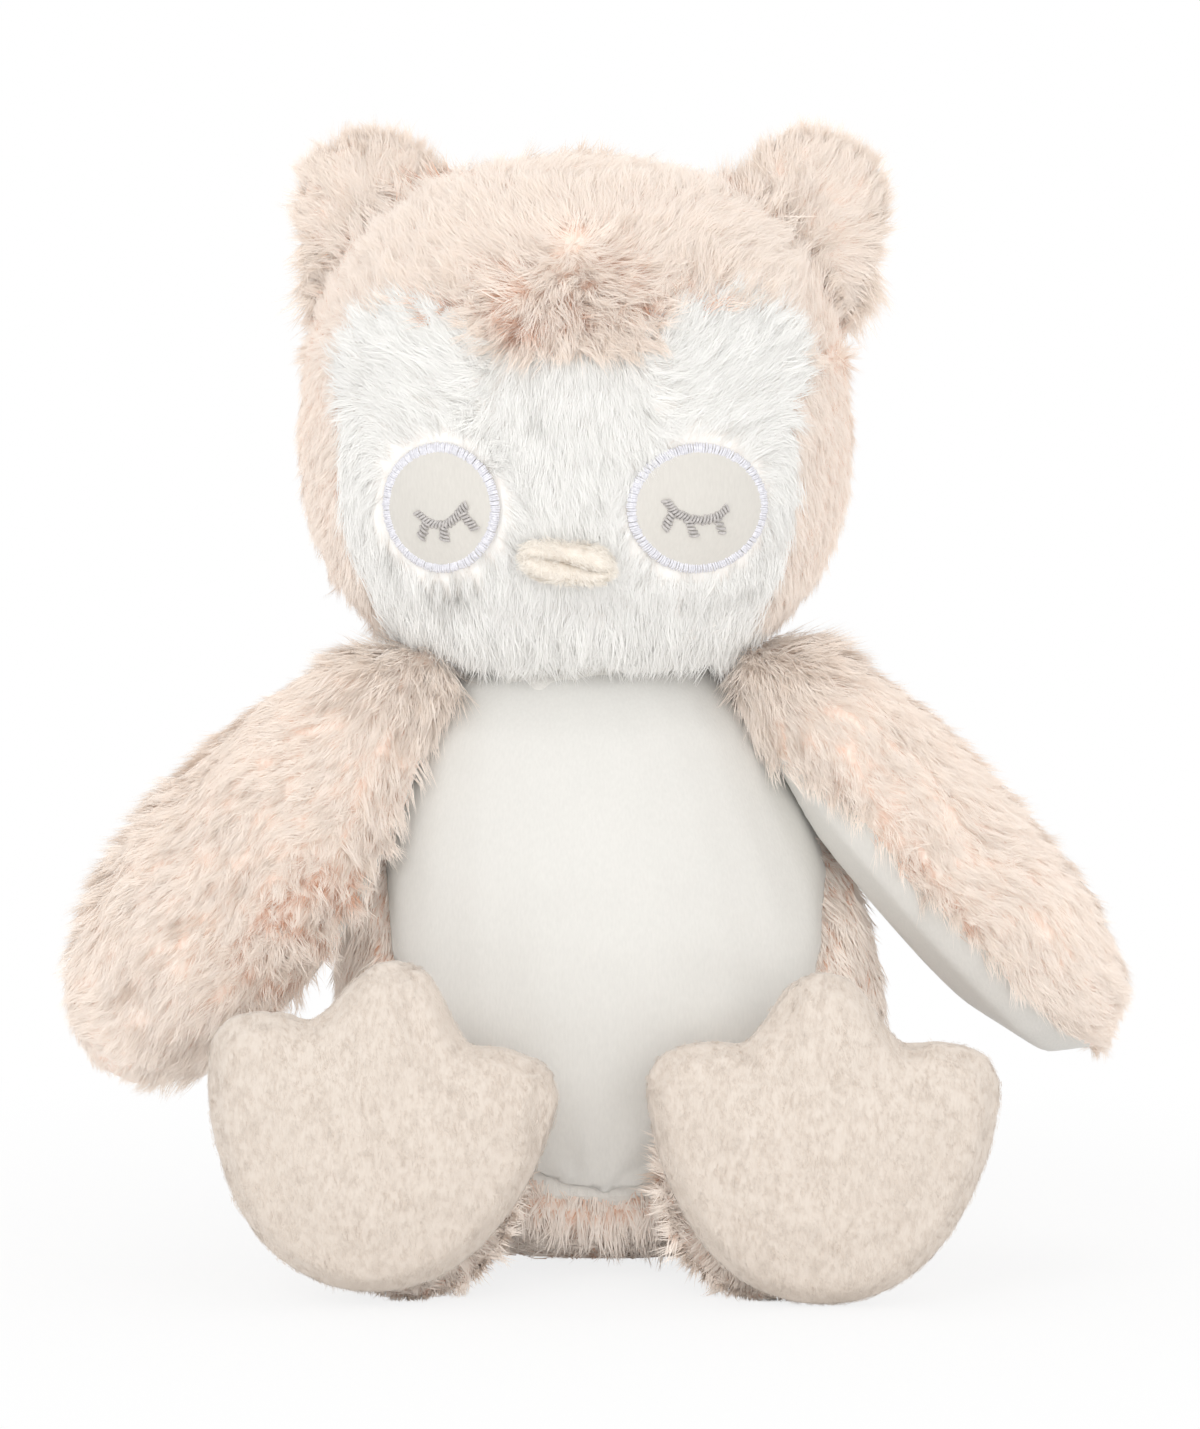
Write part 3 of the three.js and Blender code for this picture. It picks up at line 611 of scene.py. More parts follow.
def give_materials(mesh, names, choice=None):
    mesh.materials.clear()
    for name in names:
        mesh.materials.append(finishes[name])
    if choice is not None:
        mesh.polygons.foreach_set("material_index", np.asarray(choice, np.int32))


def ride_as(piece, body, slot, *nodes):
    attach(piece, body)
    if nodes:
        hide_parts(*nodes)
    return piece


def outwards_from(points, centre):
    return unit(points - np.array(centre) * MM)


def blended(first, second, share):
    return first + (second - first) * np.asarray(share)[:, None]


# Head.

HEAD_NODES = ["crown_left", "crown_right", "face_panel"]
EYE_NODES = ["eye_patch_left", "eye_patch_right", "eye_ring_left", "eye_ring_right"]
FACE = HEAD_NODES.index("face_panel")
# The head's place, turn in degrees and measures in the CAD, in millimetres.
NECK = np.array((-5.8, 0.0, 143.0))
HEAD_TURN = -1.6
HEAD_HALF_WIDTH = 66
HEAD_FRONT = 56
HEAD_WIDEST_RISE = 53
HEAD_UP = 65.5
HEAD_DOWN = 57
HEAD_FULLNESS = 2.45
FACE_MIDDLE = (-6.5, -62, 176)
# The forehead's parting, across; the top and the foot of its arch, the white peak's top, and the height
# up to which the neck hides the head's underside.
PARTING = -7
ARCH_TOP = 243
ARCH_FOOT = 216
PEAK_TOP = 219
NECK_COVER = 149
DOWN = np.array((0.0, 0.0, -1.0))
FORWARD = np.array((0.0, -1.0, 0.0))
# Middle, reach and width, height of the tangled places on the forehead.
TANGLES = (((-6, -50, 236), 15, (1.2, 1, 0.9)), ((4, -52, 227), 15, (1.5, 1, 0.7)),
           ((-30, -45, 226), 22, (1.8, 1, 0.9)), ((25, -47, 226), 21, (1.8, 1, 0.8)),
           ((-8, -55, 215), 13, (1.4, 1, 0.8)))


class OwlHead(Operator):
    """Makes the stuffed head with its pink crown pile and its white face pile."""

    bl_idname = "owl.head"
    bl_label = "Head"

    def execute(self, context):
        sizes = context.scene.owl_sizes
        pile = context.scene.owl_pile
        nodes = HEAD_NODES + ["head_stuffing"] + EYE_NODES
        skin = soft_skin("head_backing", nodes, 1.8 * MM, sizes.backing_depth, 6)
        mesh = skin.data
        region = nearest_node(mesh, HEAD_NODES + EYE_NODES)
        points = vectors_of(mesh, "co")
        centres = face_centres(mesh)
        # The white pile stops short of the seam at the sides, where the pink pile lies over it.
        to_crown = distances_to(centres, HEAD_NODES[:2])
        rise = centres[:, 2] / MM - NECK[2]
        widest = np.where(centres[:, 0] > NECK[0] * MM, 11, 9)
        margin = widest * MM * (1 - smoothstep(rise, 56, 72)) * smoothstep(rise, 6, 16)
        covered = (region == FACE) & (to_crown.min(axis=0) < margin)
        region = np.where(covered, np.argmin(to_crown, axis=0), region)
        # The forehead's pink strands hang down, so their roots stop above the peak.
        peak = (region < FACE) & (centres[:, 1] < -30 * MM) & (centres[:, 2] < PEAK_TOP * MM) & (
            np.abs(centres[:, 0] - PARTING * MM) < 22 * MM)
        region = np.where(peak, FACE, region)
        give_materials(mesh, ["pink_backing", "white_backing"], region >= FACE)
        ride_as(skin, "head", "pink_pile")
        self.grow_crown(sizes, pile, skin, region, points, centres)
        self.grow_face(sizes, pile, skin, region, points)
        return {"FINISHED"}

    def grow_crown(self, sizes, pile, skin, region, points, centres):
        # The pile parts along a ragged arch over the forehead: up and back over it, down below it.
        stray = wander(points, 10 * MM, 23)
        beside = points[:, 0] / MM - PARTING
        arch = ARCH_TOP - 0.8 * np.abs(beside) + 3 * stray[:, 0]
        over = np.tanh((points[:, 2] / MM - np.maximum(arch, ARCH_FOOT)) / 8)
        out = np.stack((0.8 * np.tanh(beside / 30) + 0.7 * stray[:, 1],
                        0.6 * smoothstep(points[:, 2], 225 * MM, 250 * MM), over), axis=1)
        out = out / np.maximum(np.linalg.norm(out, axis=1, keepdims=True), 0.6)
        out = out + 0.25 * wander(points, 6 * MM, 13)
        behind = smoothstep(points[:, 1], -10 * MM, 40 * MM)
        below = smoothstep(-points[:, 2], -225 * MM, -165 * MM)
        comb = blended(out, DOWN, np.clip(0.35 * below + 0.9 * behind, 0, 1))
        tangle = np.zeros(len(points))
        for place, reach, spread in TANGLES:
            tangle = np.maximum(tangle, nearness(points, place, reach, spread))
        tangle *= 0.75 + 0.25 * np.clip(wander(points, 3 * MM, 8)[:, 0], -1, 1)
        peak = nearness(points, (PARTING, -54, PEAK_TOP), 24, (1.6, 1, 1))
        comb = blended(comb, DOWN, 0.7 * peak)
        comb = comb + 0.7 * wander(points, 4 * MM, 14) * tangle[:, None]
        to_ear = distances_to(points, [f"ear_{face}_{side}" for face in ("front", "back") for side in SIDES])
        by_ear = 1 - smoothstep(to_ear.min(axis=0), 1 * MM, 8 * MM)
        comb = blended(comb, outwards_from(points, (-6, 0, 205)), 0.5 * by_ear)
        tangle = np.maximum(tangle, 0.35 * by_ear)
        sides = smoothstep(np.abs(points[:, 0] + 6 * MM), 38 * MM, 60 * MM)
        # Clump by clump, the tangles show more or less of the strands' darker roots.
        clumps = 0.5 * wander(points, 3 * MM, 31)[:, 0]
        whorl = nearness(points, (-4, -50, 241), 9, (1.3, 1, 1))
        # Lower on the head the strands' colour is made a little darker: a painted shade.
        shade = 0.64 - (0.26 + clumps) * tangle - 0.02 * below + 0.3 * whorl
        length = sizes.long_pile * (1 - 0.3 * sides + 0.2 * peak + 0.5 * by_ear)
        shows = away_from_neck(skin.data)
        for side in SIDES:
            node = HEAD_NODES.index(f"crown_{side}")
            for end, first, last, kind, strands in (
                    ("front", -100, -14, "long", pile.long_strands),
                    ("middle", -14, 10, "long", pile.face_strands / 2),
                    ("back", 10, 100, "plain", pile.back_strands)):
                within = (centres[:, 1] >= first * MM) & (centres[:, 1] < last * MM)
                chosen = (region == node) & within & shows
                fur = grow_pile(f"crown_pile_{side}_{end}", skin, chosen, kind, strands, "pink_strands", comb,
                                length, shade=shade, tangle=tangle, scatter=0.35, sway=0.24, lock_size=5 * MM,
                                upright=0.35 * by_ear + 0.2 + 0.1 * tangle)
                ride_as(fur, "head", "pink_pile", f"crown_{side}")

    def grow_face(self, sizes, pile, skin, region, points):
        out = outwards_from(points, FACE_MIDDLE)
        away = np.linalg.norm((points / MM - np.array(FACE_MIDDLE)) * (1, 0, 1), axis=1)
        upper = smoothstep(points[:, 2], 168 * MM, 200 * MM)
        comb = blended(DOWN + 0 * out, out, smoothstep(away, 16, 44) * upper)
        length = np.full(len(points), sizes.face_pile)
        for side in SIDES:
            low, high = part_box(f"eye_ring_{side}")
            away = points - np.array((low + high) / 2)
            away[:, 1] = 0
            distance = np.linalg.norm(away, axis=1)
            near = 1 - smoothstep(distance, sizes.eye_radius, sizes.eye_radius + 9 * MM)
            comb = blended(comb, unit(away), 0.65 * near)
            length *= 1 - 0.2 * near
        comb = comb + 0.12 * wander(points, 9 * MM, 4)
        # Under the forehead's peak the white strands fall away from the pink ones.
        fringe = nearness(points, (PARTING, -55, 212), 30, (1.2, 1, 1))
        comb = blended(comb, DOWN, fringe)
        sides = smoothstep(np.abs(points[:, 0] - NECK[0] * MM), 38 * MM, 52 * MM) * (
            1 - smoothstep(points[:, 2], 198 * MM, 212 * MM))
        comb = blended(comb, DOWN, 0.75 * sides)
        # The chin's strands are the longest, and hang over the top of the belly.
        chin = smoothstep(-points[:, 2], -163 * MM, -152 * MM)
        comb = blended(comb, DOWN + 0.35 * unit(points - NECK * MM), 0.9 * chin)
        length *= 1 + 0.6 * chin
        brow = smoothstep(points[:, 2], 206 * MM, 220 * MM) * (1 - fringe)
        length *= 1 + 0.25 * brow
        centres = face_centres(skin.data)
        chosen = (region == FACE) & away_from_neck(skin.data)
        for side, sign in SIDES.items():
            half = chosen & (sign * (centres[:, 0] - NECK[0] * MM) > 0)
            fur = grow_pile(f"face_pile_{side}", skin, half, "long", pile.face_strands, "white_strands", comb,
                            length, shade=0.7, tangle=0.12 + 0.2 * brow, scatter=0.22, sway=0.14,
                            lock_size=6 * MM, softness=0.97)
            ride_as(fur, "head", "white_pile", "face_panel")


def away_from_neck(mesh):
    """The faces that the neck doesn't hide."""
    centres = face_centres(mesh)
    return (centres[:, 2] > NECK_COVER * MM) | (face_normals(mesh)[:, 2] > -0.8)


def neck_point(across, forward, rise):
    """A place given from the neck, in millimetres, in metres in the frame."""
    turn = math.radians(HEAD_TURN)
    x = across * math.cos(turn) - forward * math.sin(turn)
    y = across * math.sin(turn) + forward * math.cos(turn)
    return (NECK + np.array((x, y, rise))) * MM


# Ears.


class OwlEars(Operator):
    """Makes the two ears, whose pile stands outwards all round."""

    bl_idname = "owl.ears"
    bl_label = "Ears"

    def execute(self, context):
        sizes = context.scene.owl_sizes
        pile = context.scene.owl_pile
        for side, sign in SIDES.items():
            nodes = [f"ear_front_{side}", f"ear_back_{side}"]
            skin = soft_skin(f"ear_backing_{side}", nodes, 1.2 * MM, 2.2 * MM, 5)
            give_materials(skin.data, ["pink_backing"])
            ride_as(skin, "head", "pink_pile")
            low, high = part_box(nodes[0])
            inwards = -sign
            middle = np.array((
                (low[0] + high[0]) / 2 + 4 * inwards * MM, 3 * MM, (low[2] + high[2]) / 2 - 6 * MM))
            points = vectors_of(skin.data, "co")
            away = points - middle
            away[:, 1] *= 0.5
            comb = unit(away) + 0.3 * wander(points, 5 * MM, 6)
            root = points - middle + np.array((-3 * inwards, 0, 4)) * MM
            tangle = 1 - smoothstep(np.linalg.norm(root, axis=1), 5 * MM, 13 * MM)
            outer = smoothstep(-inwards * (points[:, 0] - middle[0]), 4 * MM, 14 * MM) * smoothstep(
                middle[2] - points[:, 2], -2 * MM, 8 * MM)
            comb = blended(comb, DOWN - 0.25 * inwards * np.array((1.0, 0, 0)), 0.7 * outer)
            inner = smoothstep(inwards * (points[:, 0] - middle[0]), 2 * MM, 12 * MM)
            length = sizes.ear_pile * (1 + 0.9 * outer + 0.2 * inner)
            # At the ear's rim the strands stand out all round.
            normals = vectors_of(skin.data, "normal")
            rim = 1 - smoothstep(np.abs(normals[:, 1]), 0.3, 0.8)
            chosen = np.ones(len(skin.data.polygons), bool)
            fur = grow_pile(f"ear_pile_{side}", skin, chosen, "long", pile.face_strands, "pink_strands", comb,
                            length, shade=0.8 - 0.55 * tangle, tangle=0.1 + 0.6 * tangle, scatter=0.35,
                            sway=0.4, lock_size=5 * MM, softness=0.95, upright=0.6 * rim)
            ride_as(fur, "head", "pink_pile", *nodes)
        return {"FINISHED"}


# Eyes.

# Each eye's middle from the neck, and its width for its height.
EYE_SPACING = 59.6
EYE_RISE = 38.6
EYE_WIDTHS = {"left": 0.93, "right": 1.1}
# How deep the patch's front and back lie in the head, and how far its middle swells, in millimetres.
PATCH_FRONT = 0.35
PATCH_BACK = 2.9
PATCH_SWELL = 0.9
# The lid and the three lashes of each eye, in shares of its radius.
STITCH_PLACES = {
    "left": [[(.42, .05), (.18, -.21), (0, -.26), (-.15, -.24), (-.36, -.09)],
             [(-.21, -.24), (-.3, -.46)], [(.07, -.26), (.07, -.49)], [(.36, -.09), (.54, -.31)]],
    "right": [[(-.49, .12), (-.32, -.07), (-.03, -.18), (.27, -.15), (.44, -.01)],
              [(-.41, -.1), (-.5, -.31)], [(-.15, -.2), (-.06, -.42)], [(.3, -.18), (.37, -.39)]],
}


def smooth_path(places, step):
    """Points and directions along a smooth curve through the places, one for each step of length."""
    places = np.array(places, float)
    padded = np.vstack((2 * places[0] - places[1], places, 2 * places[-1] - places[-2]))
    share = np.linspace(0, 1, 24, endpoint=False)[:, None]
    dense = []
    for a, b, c, d in zip(padded, padded[1:], padded[2:], padded[3:]):
        dense.append(b + share * ((c - a) / 2 + share * (a - 2.5 * b + 2 * c - d / 2
                     + share * (1.5 * b - a / 2 - 1.5 * c + d / 2))))
    dense = np.vstack((*dense, places[-1:]))
    travelled = np.concatenate(([0], np.cumsum(np.linalg.norm(np.diff(dense, axis=0), axis=1))))
    wanted = np.linspace(0, travelled[-1], max(2, round(travelled[-1] / step)))
    points = np.stack([np.interp(wanted, travelled, column) for column in dense.T], axis=1)
    return points, unit(np.gradient(points, axis=0))


def head_front(across, rise, inset):
    """How far forward the head's front lies, in millimetres, at a place given from the neck."""
    reach = np.where(rise < HEAD_WIDEST_RISE, HEAD_DOWN, HEAD_UP) - inset
    drop = np.clip(np.abs(rise - HEAD_WIDEST_RISE) / reach, 0, 1)
    radius = (HEAD_HALF_WIDTH - inset) * (1 - drop ** HEAD_FULLNESS) ** (1 / HEAD_FULLNESS)
    return -HEAD_FRONT / HEAD_HALF_WIDTH * np.sqrt(np.maximum(radius ** 2 - across ** 2, 0))


def head_point(across, rise, inset):
    return neck_point(across, head_front(across, rise, inset), rise)


def head_normal(across, rise):
    ahead = head_point(across + 1, rise, 0) - head_point(across - 1, rise, 0)
    over = head_point(across, rise + 1, 0) - head_point(across, rise - 1, 0)
    return unit(np.cross(ahead, over))


def make_stitch_tree():
    """Lays one thread at each point, along its axis attribute."""
    tree = bpy.data.node_groups.new("Satin stitches", "GeometryNodeTree")
    for name, kind in (("Places", "Geometry"), ("Thread", "Object"), ("Finish", "Material")):
        tree.interface.new_socket(name=name, in_out="INPUT", socket_type=f"NodeSocket{kind}")
    tree.interface.new_socket(name="Stitches", in_out="OUTPUT", socket_type="NodeSocketGeometry")
    given = add_node(tree, "NodeGroupInput").outputs
    read = {}
    for name in ("axis", "facing", "stretch"):
        read[name] = add_node(
            tree, "GeometryNodeInputNamedAttribute", {"Name": name}, data_type="FLOAT_VECTOR")
    places = add_node(tree, "GeometryNodeMeshToPoints", {0: given["Places"]})
    turned = add_node(tree, "FunctionNodeAxesToRotation", {
        "Primary Axis": read["axis"], "Secondary Axis": read["facing"]}, primary_axis="X", secondary_axis="Z")
    thread = add_node(tree, "GeometryNodeObjectInfo", {"Object": given["Thread"], "As Instance": True})
    laid = add_node(tree, "GeometryNodeInstanceOnPoints", {
        "Points": places, "Instance": thread.outputs["Geometry"], "Rotation": turned,
        "Scale": read["stretch"]})
    plain = add_node(tree, "GeometryNodeRealizeInstances", {0: laid})
    painted = add_node(tree, "GeometryNodeSetMaterial", {"Geometry": plain, "Material": given["Finish"]})
    add_node(tree, "NodeGroupOutput", {0: painted})
    return tree


def make_thread():
    """A thread one metre long and one metre thick that arches over the cloth."""
    sides = 6
    stations = np.array((-0.5, -0.44, -0.25, 0, 0.25, 0.44, 0.5))
    points = []
    for along in stations:
        girth = 0.5 * math.sqrt(1 - (2 * abs(along)) ** 6 * 0.8)
        arch = 0.9 * (1 - 4 * along ** 2)
        for spot in range(sides):
            angle = 2 * math.pi * spot / sides
            points.append((along, girth * math.cos(angle), girth * math.sin(angle) + arch))
    faces = tube_faces(len(stations), sides)
    faces.append(tuple(range(sides))[::-1])
    faces.append(tuple(range(len(points) - sides, len(points))))
    mesh = mesh_from("thread", points, faces)
    fix_normals(mesh)
    return put_in_scene(mesh, "thread")


def lay_stitches(name, stitches, finish):
    """Lays a thread for each stitch, given as its place, axis, facing and stretch."""
    places, *fields = zip(*stitches)
    mesh = mesh_from(name, places, [])
    for field, values in zip(("axis", "facing", "stretch"), fields):
        set_attribute(mesh, field, "FLOAT_VECTOR", values)
    values = {"Thread": tufts["thread"][0], "Finish": finishes[finish]}
    return run_tree(put_in_scene(mesh, name + "_places"), trees["stitches"], values, name)


class OwlEyes(Operator):
    """Makes the eye patches, their stitched rings and the stitched lids and lashes."""

    bl_idname = "owl.eyes"
    bl_label = "Eyes"

    def execute(self, context):
        sizes = context.scene.owl_sizes
        radius = sizes.eye_radius / MM
        rng = np.random.default_rng(context.scene.owl_pile.seed)
        for side, sign in SIDES.items():
            middle = np.array((sign * EYE_SPACING / 2, EYE_RISE))
            self.make_patch(side, middle, radius - 0.7 * sizes.ring_width / MM)
            self.stitch_ring(sizes, side, middle, radius, rng)
            self.stitch_lid(sizes, side, middle, radius, rng)
        return {"FINISHED"}

    def make_patch(self, side, middle, radius):
        rings = 14
        spokes = 64
        points = []
        for inset, swell, order in ((PATCH_FRONT, PATCH_SWELL, range(1, rings + 1)),
                                    (PATCH_BACK, 0, range(rings, 0, -1))):
            for ring in order:
                share = ring / rings
                for spoke in range(spokes):
                    angle = 2 * math.pi * spoke / spokes
                    x = middle[0] + share * (radius + 0.8) * math.cos(angle) * EYE_WIDTHS[side]
                    rise = middle[1] + share * (radius + 0.8) * math.sin(angle)
                    points.append(head_point(x, rise, inset - swell * (1 - share ** 2)))
        count = len(points)
        points += [head_point(*middle, PATCH_FRONT - PATCH_SWELL), head_point(*middle, PATCH_BACK)]
        faces = tube_faces(2 * rings, spokes)
        last = count - spokes
        for spoke in range(spokes):
            ahead = (spoke + 1) % spokes
            faces.append((count, ahead, spoke))
            faces.append((count + 1, last + spoke, last + ahead))
        mesh = mesh_from(f"eye_cloth_{side}", points, faces)
        fix_normals(mesh)
        give_materials(mesh, ["patch_cloth"])
        ride_as(put_in_scene(mesh, f"eye_cloth_{side}"), "head", "smooth_pile", f"eye_patch_{side}")

    def stitch_ring(self, sizes, side, middle, radius, rng):
        width = sizes.ring_width / MM
        centre = radius - width / 2
        count = round(2 * math.pi * centre / (sizes.stitch_step / MM))
        stitches = []
        for spot in range(count):
            angle = 2 * math.pi * (spot + rng.uniform(-0.2, 0.2)) / count
            low = max(0.0, -math.sin(angle)) ** 4
            reach = centre * (1 + 0.035 * low) + rng.uniform(-0.12, 0.12)
            direction = np.array((math.cos(angle) * EYE_WIDTHS[side], math.sin(angle)))
            inner = middle + (reach - 0.5) * direction
            outer = middle + (reach + 0.5) * direction
            place = middle + reach * direction
            stretch = (rng.uniform(0.95, 1.1) * sizes.ring_width, sizes.thread,
                       rng.uniform(0.6, 1.1) * sizes.thread)
            stitches.append((head_point(*place, 0.5), unit(head_point(*outer, 0) - head_point(*inner, 0)),
                             head_normal(*place), stretch))
        ring = lay_stitches(f"eye_stitches_{side}", stitches, "ring_thread")
        ride_as(ring, "head", "white_thread", f"eye_ring_{side}")

    def stitch_lid(self, sizes, side, middle, radius, rng):
        stitches = []
        for path in STITCH_PLACES[side]:
            points, directions = smooth_path(np.array(path) * radius + middle, 1.5 * sizes.stitch_step / MM)
            for place, direction in zip(points, directions):
                across = np.array((-direction[1], direction[0])) + 0.4 * direction
                across = across + rng.uniform(-0.12, 0.12, 2)
                axis = unit(head_point(*(place + across), 0) - head_point(*(place - across), 0))
                stretch = (rng.uniform(0.85, 1.15) * sizes.lash_width, 1.2 * sizes.thread,
                           rng.uniform(1.1, 1.5) * sizes.thread)
                stitches.append((head_point(*place, -0.3), axis, head_normal(*place), stretch))
        lash = lay_stitches(f"lash_stitches_{side}", stitches, "lash_thread")
        ride_as(lash, "head", "grey_thread", f"eye_lash_{side}")


# Beak.


# The beak's middle, across and up, and half its width, in millimetres.
BEAK_MIDDLE = (-7.6, 169.9)
BEAK_HALF_WIDTH = 10.5
# How far forward the lips' roots lie, and how far the lips stand out from there.
LIP_ROOT = 56.2
LIP_DEPTH = 4.6
# The crease's rise, and each lip's height over or under it, from the beak's left end to its right end.
CREASE = (0.9, 0.9, 0.6, 0.0, -0.8, -1.6, -2.3, -2.6, -2.2)
LIP_HEIGHTS = {"upper": (2.4, 2.9, 3.3, 3.8, 4.3, 4.9, 5.2, 5.0, 4.0),
               "lower": (-3.2, -3.9, -4.3, -4.3, -3.9, -3.3, -2.6, -2.0, -1.5)}


class OwlBeak(Operator):
    """Makes the two stuffed fleece lips of the beak, which meet in a slanting crease."""

    bl_idname = "owl.beak"
    bl_label = "Beak"

    def execute(self, context):
        sizes = context.scene.owl_sizes
        pile = context.scene.owl_pile
        for part in LIP_HEIGHTS:
            skin = self.make_lip(part)
            give_materials(skin.data, ["fleece_cloth"])
            ride_as(skin, "head", "cream_fleece", f"beak_{part}")
            points = vectors_of(skin.data, "co")
            middle = points.mean(axis=0)
            chosen = np.ones(len(skin.data.polygons), bool)
            fuzz = grow_pile(f"beak_fibres_{part}", skin, chosen, "short", 2 * pile.nap_strands,
                             "fleece_strands", unit(points - middle) + 0.5 * DOWN, 1.3 * sizes.nap, shade=0.8,
                             scatter=0.9, sway=0.3, lock_size=3 * MM, upright=0.25)
            ride_as(fuzz, "head", "cream_fleece")
        return {"FINISHED"}

    def make_lip(self, part):
        """A closed roll along the crease, with blunt ends."""
        stations = 33
        spokes = 20
        known = np.linspace(-1, 1, len(CREASE))
        points = []
        for share in np.sin(np.linspace(-math.pi / 2, math.pi / 2, stations)):
            full = math.sqrt(max(1 - share ** 6, 0.0004))
            rise = np.interp(share, known, CREASE)
            height = np.interp(share, known, LIP_HEIGHTS[part]) * full
            half = abs(height) / 2 + 0.45 * full
            depth = LIP_DEPTH * full
            x = BEAK_MIDDLE[0] + BEAK_HALF_WIDTH * share
            for spoke in range(spokes):
                angle = 2 * math.pi * spoke / spokes
                forward = depth * math.cos(angle) * (1 if math.cos(angle) > 0 else 0.6)
                z = BEAK_MIDDLE[1] + rise + height / 2 + half * math.sin(angle)
                points.append((x, -LIP_ROOT - forward, z))
        faces = tube_faces(stations, spokes)
        faces += [tuple(range(spokes)), tuple(range(spokes * (stations - 1), spokes * stations))]
        points = np.array(points)
        points += 0.2 * wander(points, 1.8, 12)
        mesh = mesh_from(f"beak_cloth_{part}", points * MM, faces)
        fix_normals(mesh)
        return put_in_scene(mesh, mesh.name)


# Body.


TORSO_NODES = ["body_cover_left", "body_cover_right", "belly_panel"]
BELLY_GATHER = (-2, -46, 19)
# Folds in the belly: from and to, across and up, and depth, in millimetres.
BELLY_FOLDS = (((-11, 20), (-14, 38), 0.9), ((24, 88), (48, 76), 0.5), ((20, 74), (40, 68), 0.35))


def torso_skin(name, inset):
    """The stuffed torso, rounded off under the head."""
    nodes = TORSO_NODES + ["body_stuffing", "pellet_bag"]
    skin = soft_skin(name, nodes, 2 * MM, inset, 6)
    points = vectors_of(skin.data, "co")
    top = smoothstep(points[:, 2], 126 * MM, 145 * MM)
    inwards = (np.array((NECK[0], 0, 0)) * MM - points) * (1, 1, 0)
    move_corners(skin.data, 0.16 * top[:, None] * inwards)
    return skin


class OwlBody(Operator):
    """Makes the stuffed body with its pink pile."""

    bl_idname = "owl.body"
    bl_label = "Body"

    def execute(self, context):
        sizes = context.scene.owl_sizes
        pile = context.scene.owl_pile
        skin = torso_skin("body_backing", sizes.backing_depth)
        region = nearest_node(skin.data, TORSO_NODES)
        # Under the belly's cloth the stuffing lies deeper.
        from_node = distances_to(vectors_of(skin.data, "co"), TORSO_NODES)
        under_belly = smoothstep(from_node[:2].min(axis=0) - from_node[2], -8 * MM, -4 * MM)
        move_corners(skin.data, -4 * MM * under_belly[:, None] * vectors_of(skin.data, "normal"))
        points = vectors_of(skin.data, "co")
        give_materials(skin.data, ["pink_backing"])
        ride_as(skin, "torso", "pink_pile")
        comb = np.tile(DOWN, (len(points), 1)) + 0.35 * outwards_from(points, (2, -10, 60))
        comb = comb + 0.25 * wander(points, 10 * MM, 9)
        under = smoothstep(-points[:, 2], -14 * MM, -4 * MM)
        comb = blended(comb, outwards_from(points, (2, 0, 0)), 0.8 * under)
        # Beside the belly the strands lean over its edge.
        beside = 1 - smoothstep(from_node[2], 4 * MM, 12 * MM)
        top = smoothstep(points[:, 2], 118 * MM, 136 * MM)
        comb = blended(comb, outwards_from(points, (2, 0, 110)), 0.8 * top)
        length = sizes.long_pile * (1 + 0.4 * top)
        # No strands grow on the bottom that the owl sits on.
        open_air = face_normals(skin.data)[:, 2] > -0.93
        for side in SIDES:
            chosen = (region == TORSO_NODES.index(f"body_cover_{side}")) & open_air
            fur = grow_pile(f"body_pile_{side}", skin, chosen, "plain", pile.back_strands, "pink_strands",
                            comb, length, shade=0.6 - 0.12 * beside, tangle=0.3 * beside, scatter=0.3,
                            sway=0.15)
            ride_as(fur, "torso", "pink_pile", f"body_cover_{side}")
        return {"FINISHED"}


class OwlBelly(Operator):
    """Makes the smooth belly, level with the body's pile and gathered at its bottom."""

    bl_idname = "owl.belly"
    bl_label = "Belly"

    def execute(self, context):
        sizes = context.scene.owl_sizes
        skin = torso_skin("belly_cloth", sizes.nap_depth)
        mesh = skin.data
        centres = face_centres(mesh)
        to_node = distances_to(centres, TORSO_NODES)
        spare = 4 * MM * smoothstep(centres[:, 2], 25 * MM, 50 * MM)
        shown = (to_node[2] < to_node[:2].min(axis=0) + spare) & (centres[:, 1] < 0)
        points = vectors_of(mesh, "co")
        normals = vectors_of(mesh, "normal")
        from_node = distances_to(points, TORSO_NODES)
        edge = 1 - smoothstep(from_node[:2].min(axis=0) - from_node[2], -4 * MM, 3 * MM)
        away = points / MM - np.array(BELLY_GATHER)
        angle = np.arctan2(away[:, 0], away[:, 2])
        gather = np.exp(-np.linalg.norm(away, axis=1) / 14)
        folds = 0.9 * gather * np.cos(9 * angle + 0.8) + 0.35 * wander(points, 13 * MM, 21)[:, 0]
        for low, high, depth in BELLY_FOLDS:
            folds -= depth * crease(points, low, high, 3.0)
        move_corners(mesh, normals * ((folds - 2.2 * edge ** 2) * MM)[:, None])
        keep_faces(mesh, shown)
        with editing(mesh) as cut:
            for _ in range(6):
                rim = [corner for corner in cut.verts if corner.is_boundary]
                bmesh.ops.smooth_vert(
                    cut, verts=rim, factor=0.5, use_axis_x=True, use_axis_y=True, use_axis_z=True)
        wall = skin.modifiers.new("Cloth", "SOLIDIFY")
        wall.thickness = 1.2 * MM
        wall.offset = -1
        cloth = put_in_scene(evaluated_mesh(skin, "belly"), "belly")
        remove_piece(skin)
        cloth.data.shade_smooth()
        give_materials(cloth.data, ["smooth_cloth"])
        ride_as(cloth, "torso", "smooth_pile", "belly_panel")
        return {"FINISHED"}


def crease(points, low, high, width):
    """One along a line between two places, across and up in millimetres, and nothing beyond its width."""
    start = np.array(low, float)
    run = np.array(high, float) - start
    flat = points[:, (0, 2)] / MM - start
    share = np.clip(flat @ run / (run @ run), 0, 1)
    distance = np.linalg.norm(flat - share[:, None] * run, axis=1)
    return np.exp(-(distance / width) ** 2) * np.sin(math.pi * np.clip(share, 0.06, 0.94))


